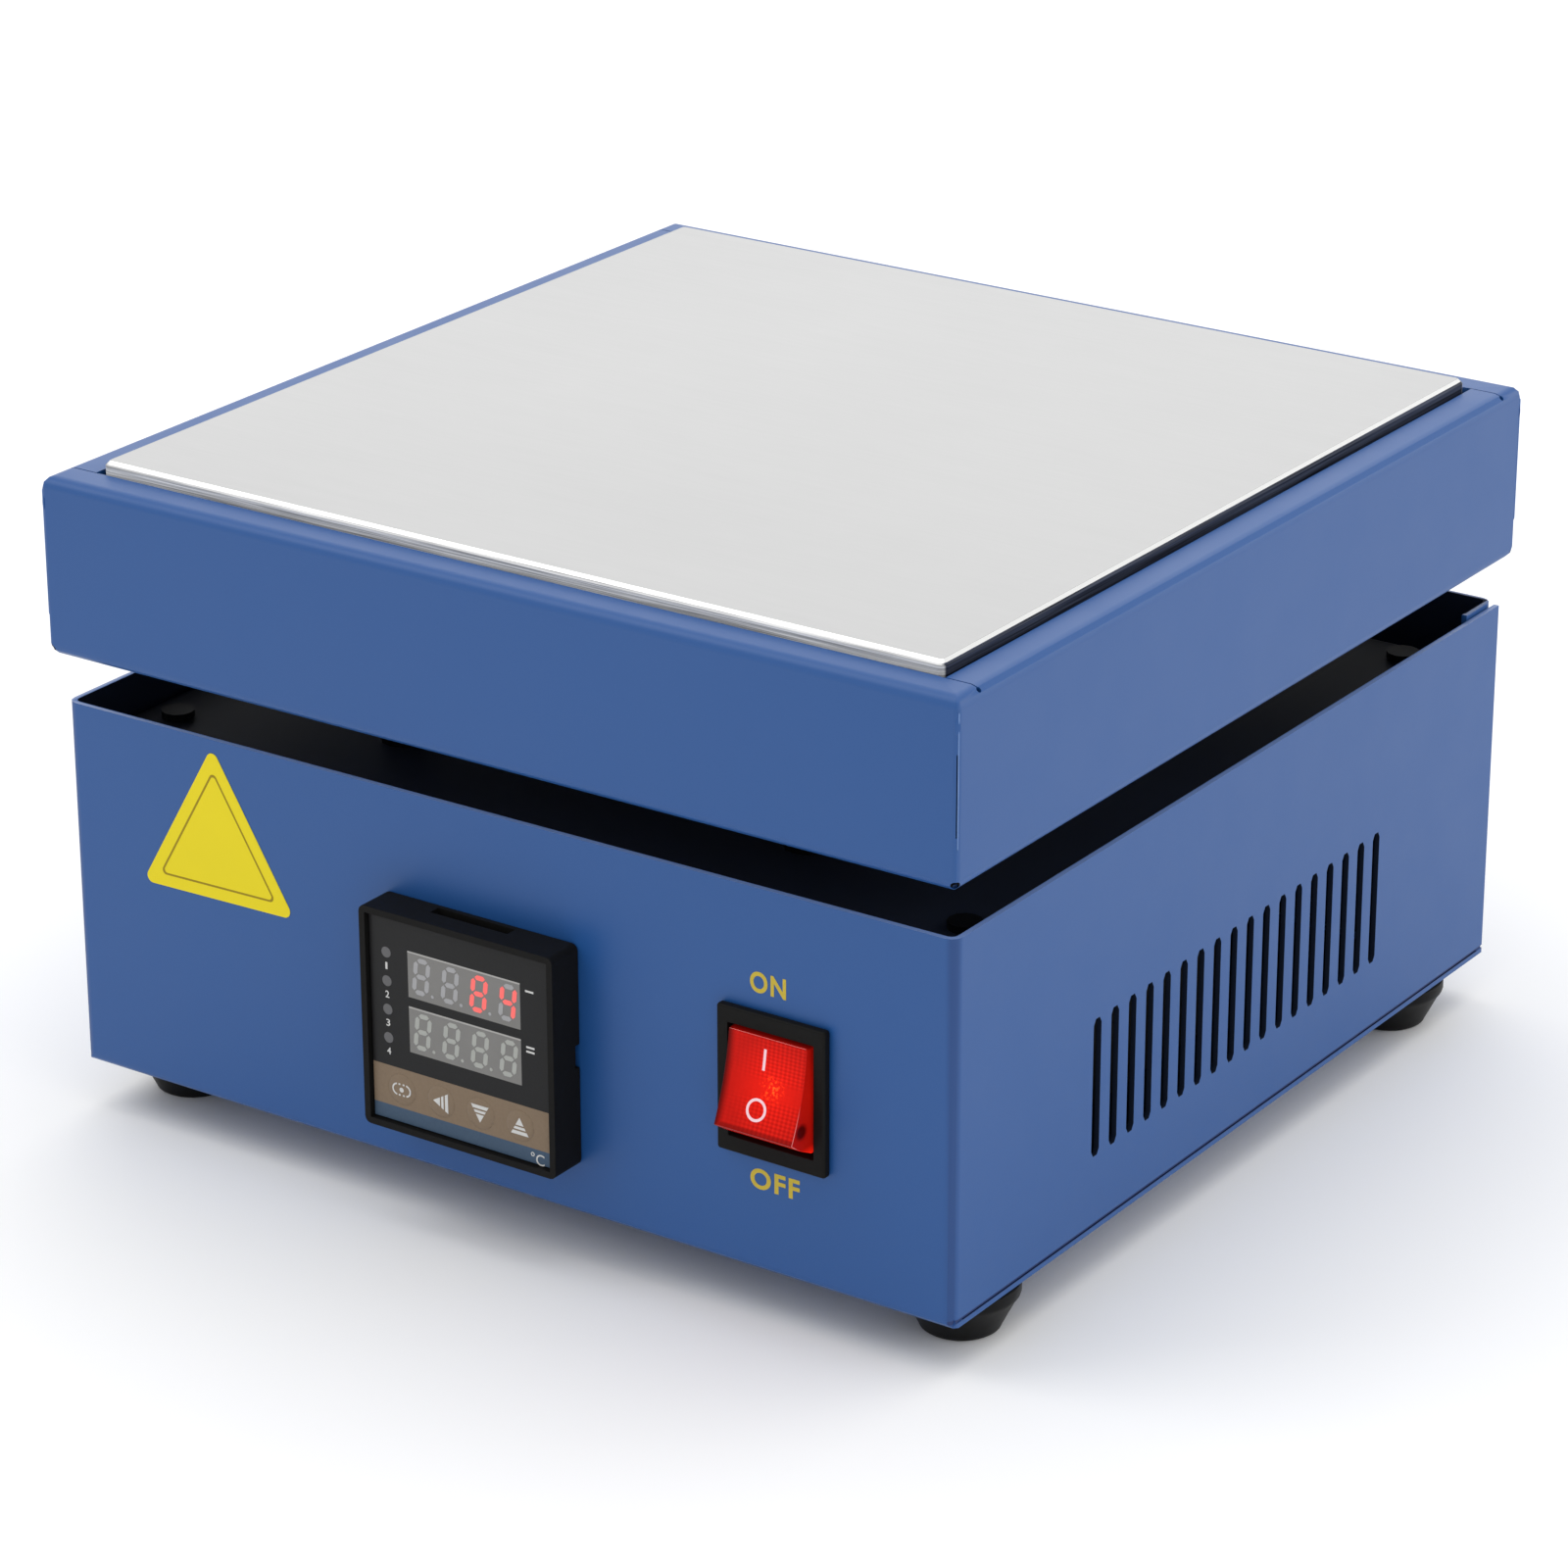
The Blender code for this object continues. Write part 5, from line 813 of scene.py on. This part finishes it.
def dome(bm, x, z, radius, back, front, rise, count=48):
    """Adds a disc whose front swells by a small rise, with its axis along Y."""
    steps = 5
    angles = [pi / 2 * step / steps for step in range(steps + 1)]
    profile = [(radius, back)] + [(radius * cos(a), front - rise * sin(a)) for a in angles]
    bm.faces.new(turned_skin(bm, profile, lambda u, v, y: (x + u, y, z + v), count)[0])


def lettering(name, words, box, y, material, bold=0.0, spacing=1.0):
    """Words as thin raised print that fills box = (left, base, width, height) on the front."""
    curve = bpy.data.curves.new(name, "FONT")
    curve.body = words
    curve.space_character = spacing
    curve.extrude = 0.5
    curve.offset = bold
    curve.resolution_u = 6
    maker = add(name + "_maker", curve)
    bpy.context.view_layer.update()
    mesh = bpy.data.meshes.new_from_object(maker.evaluated_get(bpy.context.evaluated_depsgraph_get()))
    bpy.data.objects.remove(maker)
    bm = bmesh.new()
    bm.from_mesh(mesh)
    bmesh.ops.remove_doubles(bm, verts=bm.verts, dist=1e-5)
    low, high = ([pick(v.co[i] for v in bm.verts) for i in range(3)] for pick in (min, max))
    left, base, width, height = box
    for vert in bm.verts:
        u, v, w = ((vert.co[i] - low[i]) / (high[i] - low[i]) for i in range(3))
        vert.co = (left + u * width, y + SINK - w * (FOIL + SINK), base + v * height)
    piece(name, bm, material, smooth=False)


# Front of the controller

def controller_point(x, z):
    return CONTROL_X + x, CONTROL_Z + z


def segment_outlines(x, z):
    """The seven slanted segments of one digit whose lower centre is at x, z."""
    half, gap, mid = DIGIT_STROKE / 2, DIGIT_GAP / 2, DIGIT_HEIGHT / 2
    across = DIGIT_WIDTH / 2 - half
    near, far = across - gap, across - half - gap
    shapes = {}
    for name, level in (("bottom", half), ("middle", mid), ("top", DIGIT_HEIGHT - half)):
        shapes[name] = [(-near, level), (-far, level - half), (far, level - half),
                        (near, level), (far, level + half), (-far, level + half)]
    for tag, axis in (("left", -across), ("right", across)):
        for name, low, high in (("lower", half, mid), ("upper", mid, DIGIT_HEIGHT - half)):
            low, high = low + gap, high - gap
            shapes[f"{name}_{tag}"] = [(axis, low), (axis + half, low + half), (axis + half, high - half),
                                       (axis, high), (axis - half, high - half), (axis - half, low + half)]
    return {name: [(x + u + (v - mid) * DIGIT_SLANT, z + v) for u, v in outline]
            for name, outline in shapes.items()}


def build_digits():
    """Two rows of four digits: the upper row shows 84, the rest is unlit."""
    looks = {"unlit_upper": segment_look("segment_unlit", srgb(150, 150, 152)),
             "unlit_lower": segment_look("segment_unlit_lower", srgb(154, 156, 151)),
             "lit": segment_look("segment_lit", (0.74, 0.11, 0.10), Emission_Strength=0.28,
                                 Emission_Color=(1.0, 0.12, 0.11, 1.0))}
    meshes = {key: bmesh.new() for key in looks}
    pane_front = FILM_Y - SINK
    back, front = pane_front + SINK, pane_front - FOIL
    panes = bmesh.new()
    for base in WINDOW_BASES:
        low = controller_point(WINDOW_LEFT, base)
        high = controller_point(WINDOW_RIGHT, base + WINDOW_HEIGHT)
        plaque(panes, rectangle(*low, *high), DISPLAY_Y + SINK, pane_front)
    piece("window_panes", panes, window_look(), smooth=False)
    for row, (window_base, unlit) in enumerate(zip(WINDOW_BASES, DIGIT_ROWS)):
        for place in range(4):
            x, z = controller_point(WINDOW_LEFT + DIGIT_FIRST + place * DIGIT_PITCH, window_base + DIGIT_BASE)
            for name, outline in segment_outlines(x, z).items():
                key = "lit" if name in LIT.get((row, place), ()) else unlit
                plaque(meshes[key], outline, back, front)
            if place < 3:
                point = circle(x + DIGIT_WIDTH / 2 + POINT_PLACE[0], z + POINT_PLACE[1], POINT_RADIUS, 16)
                plaque(meshes[unlit], point, back, front)
    for key, bm in meshes.items():
        piece("digits_" + key, bm, looks[key], smooth=False)


def build_lamps(white):
    """Four unlit lamps with a numeral under each."""
    bm = bmesh.new()
    for level in LAMP_HEIGHTS:
        dome(bm, *controller_point(LAMP_X, level), LAMP_RADIUS, FILM_Y + SINK, FILM_Y - 2 * SINK, LAMP_RISE)
    piece("status_lamps", bm, segment_look("lamp_lens", srgb(82, 82, 84)))
    for number, level in enumerate(LAMP_HEIGHTS, 1):
        x, z = controller_point(LAMP_X, level - LABEL_DROP)
        width = (0.5 if number == 1 else 0.95) * MM
        box = (x - width / 2, z - LABEL_HEIGHT / 2, width, LABEL_HEIGHT)
        lettering(f"lamp_numeral_{number}", str(number), box, FILM_Y, white, 0.01)


def bar_marks(white):
    """One short bar beside the upper window and two beside the lower one."""
    bm = bmesh.new()
    for level, count in BAR_ROWS:
        for index in range(count):
            x, z = controller_point(BAR_X, level - index * BAR_PITCH)
            plaque(bm, rectangle(x, z, x + BAR_SIZE[0], z + BAR_SIZE[1]), FILM_Y + SINK, FILM_Y - FOIL)
    piece("row_marks", bm, white, smooth=False)


def arrow_slices(direction):
    """A triangle cut into a tip and two bars, pointing along direction."""
    side = Vector((direction.y, -direction.x))
    tip = direction * ARROW_LENGTH / 2
    shapes = []
    for start, end in ARROW_CUTS:
        points = []
        for along, sign in ((start, 1), (start, -1), (end, -1), (end, 1)):
            point = tip - direction * ARROW_LENGTH * along + side * sign * ARROW_HALF * along
            if not points or (point - points[-1]).length > TINY:
                points.append(point)
        shapes.append([tuple(p) for p in points])
    return shapes


def dashed_capsule(width, height, stroke):
    """Capsule outline in dashes, two end bows and two bars on each straight side, round a dot."""
    radius = height / 2
    reach = width / 2 - radius
    angles = [radians(-82.0 + 164.0 * step / 8) for step in range(9)]
    shapes = []
    for side in (-1, 1):
        outer, inner = ([(side * (reach + r * cos(a)), r * sin(a)) for a in angles]
                        for r in (radius, radius - stroke))
        shapes.append(outer + inner[::-1])
        low = side * (radius - stroke / 2) - stroke / 2
        for left in (-reach + 0.25 * MM, 0.30 * MM):
            shapes.append(rectangle(left, low, left + reach - 0.55 * MM, low + stroke))
    shapes.append(circle(0.0, 0.0, 0.52 * MM, 20))
    return shapes


def build_keys(white):
    """Soft caps over the four keys, each with its printed symbol."""
    cap = key_look()
    symbols = {"set": dashed_capsule(4.7 * MM, 2.7 * MM, 0.34 * MM),
               "left": arrow_slices(Vector((-1.0, 0.0))),
               "down": arrow_slices(Vector((0.0, -1.0))),
               "up": arrow_slices(Vector((0.0, 1.0)))}
    for name, outlines in symbols.items():
        low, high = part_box("key_" + name)
        x, z = (low.x + high.x) / 2, (low.z + high.z) / 2
        bm = bmesh.new()
        dome(bm, x, z, KEY_CAP_RADIUS, FILM_Y + 2 * SINK, FILM_Y - SINK, KEY_CAP_RISE, 64)
        piece("key_cap_" + name, bm, cap, name + "_key")
        bm = bmesh.new()
        for outline in outlines:
            plaque(bm, [(x + u, z + v) for u, v in outline], low.y, FILM_Y - KEY_CAP_RISE - 2 * SINK)
        piece("key_symbol_" + name, bm, white, name + "_key", smooth=False)


def build_controller_front():
    white = ink_look("white_ink", srgb(205, 205, 203), 0.45)
    build_digits()
    build_lamps(white)
    bar_marks(white)
    build_keys(white)
    x, z, width, height = UNIT_BOX
    box = (*controller_point(x, z), width, height)
    lettering("unit_mark", "°C", box, FILM_Y, white)


# Front of the housing

def build_sticker():
    """Plain yellow triangular sticker with a keyline and nothing on it."""
    corners = [(x * MM, z * MM + BASE_Z) for x, z in STICKER_POINTS]
    bm = bmesh.new()
    plaque(bm, rounded(corners, 1.5 * MM), PANEL_Y + SINK, PANEL_Y - 0.10 * MM)
    piece("triangle_sticker", bm, vinyl_look("yellow_vinyl", srgb(228, 209, 22)))
    outer = rounded(inset(corners, KEYLINE_INSET), 1.0 * MM)
    inner = rounded(inset(corners, KEYLINE_INSET + KEYLINE_WIDTH), 0.7 * MM)
    bm = bmesh.new()
    ring_plaque(bm, outer, inner, PANEL_Y - 0.09 * MM, PANEL_Y - 0.115 * MM)
    amber = vinyl_look("keyline_amber", srgb(150, 128, 10))
    piece("sticker_keyline", bm, amber, smooth=False)


def build_switch_words():
    mustard = ink_look("mustard_ink", srgb(196, 172, 44), 0.55)
    for name, words, left, centre, width in WORDS:
        box = (left, BASE_Z + centre - WORD_HEIGHT / 2, width, WORD_HEIGHT)
        lettering(name, words, box, PANEL_Y, mustard, 0.028, 1.15)


def rocker_mark(name, strips, material):
    """Printed mark that follows the hollow face; strips are closed outlines of (x, share) points."""
    bm = bmesh.new()
    for outline in strips:
        front = [bm.verts.new(rocker_face(x, share, 0.05 * MM)) for x, share in outline]
        back = [bm.verts.new(rocker_face(x, share, -SINK)) for x, share in outline]
        half = len(outline) // 2
        for index in range(half - 1):
            other = len(outline) - 1 - index
            bm.faces.new((front[index], front[index + 1], front[other - 1], front[other]))
            bm.faces.new((back[other], back[other - 1], back[index + 1], back[index]))
        for index in range(len(outline)):
            nxt = (index + 1) % len(outline)
            bm.faces.new((front[index], back[index], back[nxt], front[nxt]))
    piece(name, bm, material, "rocker")


def build_rocker():
    """Rocker with its hollow face, drafted sides, rounded ends and two pins."""
    steps = 24
    shares = [1.0 - 2.0 * k / steps for k in range(steps + 1)]
    face = [(rocker_reach(share), ROCKER_TIP_UP * share) for share in shares]
    lower = [(out, -up) for out, up in (ROCKER_BELLY, ROCKER_HEEL)]
    wedge = [ROCKER_HEEL, ROCKER_BELLY] + face + lower
    root = [(ROCKER_ROOT[0], -ROCKER_ROOT[1]), ROCKER_ROOT]
    bm = bmesh.new()
    rings = []
    for side in (-1.0, 1.0):
        ring = []
        for out, up in wedge + root:
            share = max(0.0, (out - ROCKER_HEEL[0]) / (ROCKER_TIP_OUT - ROCKER_HEEL[0]))
            half = ROCKER_HALF - (ROCKER_HALF - ROCKER_HALF_FRONT) * share
            ring.append(bm.verts.new(rocker_point(side * half, out, up)))
        bm.faces.new(ring[:len(wedge)])
        bm.faces.new([ring[len(wedge) - 1], ring[-2], ring[-1], ring[0]])
        rings.append(ring)
    for index, (first, second) in enumerate(zip(*rings)):
        bm.faces.new((first, second, rings[1][index - 1], rings[0][index - 1]))
    matrix = Matrix.Translation(ROCKER_PIVOT) @ Matrix.Rotation(pi / 2, 4, "Y")
    bmesh.ops.create_cone(bm, cap_ends=True, segments=24, radius1=ROCKER_PIN, radius2=ROCKER_PIN,
                          depth=2 * ROCKER_PIN_REACH, matrix=matrix)
    rocker = piece("rocker_key", bm, rocker_look(), "rocker", ("switch_rocker",))
    soften(rocker, 0.28 * MM, 3)


def build_rocker_marks():
    """The line and the ring that are printed on the rocker's face."""
    pale = ink_look("rocker_ink", srgb(252, 214, 222), 0.4)
    centre, half, foot, length = LINE_MARK
    line = [(centre + side * half, (foot + length * step / 6) / ROCKER_TIP_UP)
            for side, steps in ((-1, range(7)), (1, range(6, -1, -1))) for step in steps]
    rocker_mark("rocker_line_mark", [line], pale)
    halves = []
    for side in (0, 1):
        angles = [pi * (side + step / 24) for step in range(25)]
        outer, inner = ([(RING_CENTRE[0] + radius * cos(a),
                          (RING_CENTRE[1] + radius * sin(a)) / ROCKER_TIP_UP) for a in angles]
                        for radius in RING_RADII)
        halves.append(outer + inner[::-1])
    rocker_mark("rocker_ring_mark", halves, pale)


# Feet

def build_feet():
    rubber = rubber_look()
    hole, depth, base = FOOT_HOLE_RADIUS, FOOT_HOLE_DEPTH, FOOT_BASE_RADIUS
    for number in range(1, 5):
        name = f"rubber_foot_{number}"
        low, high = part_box(name)
        centre = ((low.x + high.x) / 2, (low.y + high.y) / 2)
        top, wide = high.z, (high.x - low.x) / 2
        profile = [(0.0, depth), (hole - 0.2 * MM, depth), (hole, depth - 0.2 * MM), (hole, 0.25 * MM),
                   (hole + 0.3 * MM, 0.0), (base - 1.4 * MM, 0.0), (base - 0.8 * MM, 0.12 * MM),
                   (base - 0.3 * MM, 0.5 * MM), (base, 1.2 * MM), (wide - 0.7 * MM, 6.9 * MM),
                   (wide - 0.2 * MM, 7.5 * MM), (wide, 8.1 * MM), (wide, top - 0.7 * MM),
                   (wide - 0.15 * MM, top - 0.25 * MM), (wide - 0.6 * MM, top), (0.0, top)]
        bm = bmesh.new()
        lathe(bm, profile, centre)
        piece(f"foot_{number}", bm, rubber, replaces=(name,))


# Welded corners of the tray

def build_corner_welds(paint):
    """A fine ridge along each upright corner seam, pale as a painted highlight, and a smoothed weld spot near
    its top.
    """
    pale = Look("blue_seam_highlight", RIDGE_HIGHLIGHT_BLUE, 0.42)
    pale.tint(260.0, RIDGE_HIGHLIGHT_BLUE, RIDGE_HIGHLIGHT_PALE)
    low, high = TRAY_LOW.z + RIDGE_RISE, TRAY_HIGH.z - RIDGE_DROP
    ridge = [(0.0, low - 0.5 * MM), (0.13 * MM, low), (0.15 * MM, high), (0.0, high + 0.3 * MM)]
    for number, (side_x, side_y) in enumerate(((-1, -1), (1, -1), (-1, 1), (1, 1)), 1):
        outer = Vector((TRAY_HIGH.x if side_x > 0 else TRAY_LOW.x, TRAY_HIGH.y if side_y > 0 else TRAY_LOW.y))
        axis = outer - Vector((side_x, side_y)) * TRAY_CORNER
        middle = atan2(side_y, side_x)
        turn = middle - radians(10.0) * side_x * side_y
        bm = bmesh.new()
        lathe(bm, ridge, axis + Vector((cos(turn), sin(turn))) * TRAY_CORNER, 10)
        piece(f"corner_seam_{number}", bm, pale.material)
        at = axis + Vector((cos(middle), sin(middle))) * (TRAY_CORNER - 0.15 * MM)
        matrix = (Matrix.Translation((*at, TRAY_HIGH.z - WELD_DROP)) @ Matrix.Rotation(middle, 4, "Z")
                  @ Matrix.Diagonal((*WELD_SIZE, 1.0)))
        bm = bmesh.new()
        bmesh.ops.create_uvsphere(bm, u_segments=20, v_segments=14, radius=1.0, matrix=matrix)
        piece(f"corner_weld_{number}", bm, paint)


# CAD nodes that stay, with their finish

def dress(names, material, width=0.0):
    for name in names:
        obj = frame["nodes"][name]
        obj.data.materials.clear()
        obj.data.materials.append(material)
        if width:
            soften(obj, width)
            smooth_bends(obj)


def starting(*starts):
    """Names of the CAD nodes that start with one of these words."""
    return [name for name in frame["nodes"] if name.startswith(starts)]


def dress_frame():
    outer = tray_paint()
    dress(["upper_tray"], outer, SHEET_EDGE)
    build_corner_welds(outer)
    dress(["lower_housing"], housing_paint(), SHEET_EDGE)
    dress(["rear_panel"], rear_paint(), SHEET_EDGE)
    dress(["heat_shield"], dark_paint_look())
    # near-black posts: a blackened finish, also painted shade where they show in the air gap
    dress(starting("upper_post", "lower_post"), plastic_look("black_oxide_and_shade", (0.0018, 0.002, 0.0026), 0.6))
    dress(["heating_plate"], plate_look(), 0.10 * MM)
    dress(["insulation_board"], fibre_look())
    dress(["controller_case", "switch_body"],
          plastic_look("black_moulding", (0.0065, 0.0063, 0.0060)), 0.18 * MM)
    dress(["inlet_body", "fuse_drawer", "controller_clamp", "controller_terminals", "cable_grommet"],
          plastic_look("black_fitting", (0.009, 0.009, 0.0095), 0.5), 0.12 * MM)
    dress(["controller_overlay"], film_look())
    dress(["key_" + name for name in KEY_NAMES], key_look())
    dress(["display_module"], window_look())
    dress(["control_board"], board_look())
    dress(starting("cartridge_heater", "relay_screw", "thermocouple_probe"),
          metal_look("zinc_steel", (0.62, 0.62, 0.63), 0.32))
    dress(starting("rear_panel_screw", "inlet_screw", "foot_screw"),
          metal_look("blackened_steel", (0.045, 0.045, 0.048), 0.42))
    dress(starting("inlet_pin"), metal_look("pin_brass", (0.80, 0.66, 0.36), 0.28))
    dress(["fuse"], glass_look())
    # near-black relay case, also painted shade for the inside seen through the vent slots
    dress(["solid_state_relay"], plastic_look("relay_case", (0.03, 0.03, 0.03), 0.5), 0.15 * MM)
    dress(["heater_terminal_block"], plastic_look("glazed_ceramic", (0.80, 0.78, 0.72), 0.3), 0.15 * MM)
    dress(["heater_loom", "thermocouple_wire"], plastic_look("glass_sleeve", (0.10, 0.095, 0.085), 0.8, 0.8))
    for name, colour in (("mains_wire", (0.42, 0.02, 0.015)), ("relay_wire", (0.02, 0.05, 0.33)),
                         ("heater_feed_wire", (0.012, 0.012, 0.013))):
        dress([name], plastic_look(name + "_sheath", colour, 0.4))


# Studio

def area_light(name, place, size, power):
    data = bpy.data.lights.new(name, "AREA")
    data.shape = "RECTANGLE"
    data.size, data.size_y = size
    data.energy = power
    obj = add(name, data)
    obj.location = place
    obj.rotation_euler = (LIGHT_TARGET - Vector(place)).to_track_quat("-Z", "Y").to_euler()


def build_studio():
    world = bpy.data.worlds.new("studio")
    world.use_nodes = True
    background = world.node_tree.nodes["Background"]
    background.inputs["Color"].default_value = (1.0, 1.0, 1.0, 1.0)
    background.inputs["Strength"].default_value = WORLD_STRENGTH
    scene = bpy.context.scene
    scene.world = world
    scene.view_settings.view_transform = "Standard"
    for light in LIGHTS:
        area_light(*light)
    bm = bmesh.new()
    bmesh.ops.create_grid(bm, x_segments=12, y_segments=12, size=FLOOR_REACH)
    add_mesh("studio_floor", bm, floor_look())


def build_camera():
    azimuth, elevation = radians(CAMERA_AZIMUTH), radians(CAMERA_ELEVATION)
    back = Vector((sin(azimuth) * cos(elevation), -cos(azimuth) * cos(elevation), sin(elevation)))
    turn = Matrix.Rotation(radians(CAMERA_ROLL), 3, back)
    right = turn @ Vector((cos(azimuth), sin(azimuth), 0.0))
    up = back.cross(right)
    data = bpy.data.cameras.new("photo_camera")
    data.sensor_width = SENSOR
    data.lens = FOCAL_PIXELS * SENSOR / FRAME_PIXELS
    data.clip_start = 0.05
    data.clip_end = 20.0
    camera = add("photo_camera", data)
    matrix = Matrix((right, up, back)).transposed().to_4x4()
    matrix.translation = (CAMERA_TARGET + back * CAMERA_DISTANCE + right * CAMERA_SHIFT_RIGHT
                          + up * CAMERA_SHIFT_UP)
    camera.matrix_world = matrix
    bpy.context.scene.camera = camera


dress_frame()
build_controller_front()
build_sticker()
build_switch_words()
build_rocker()
build_rocker_marks()
build_feet()
build_studio()
build_camera()
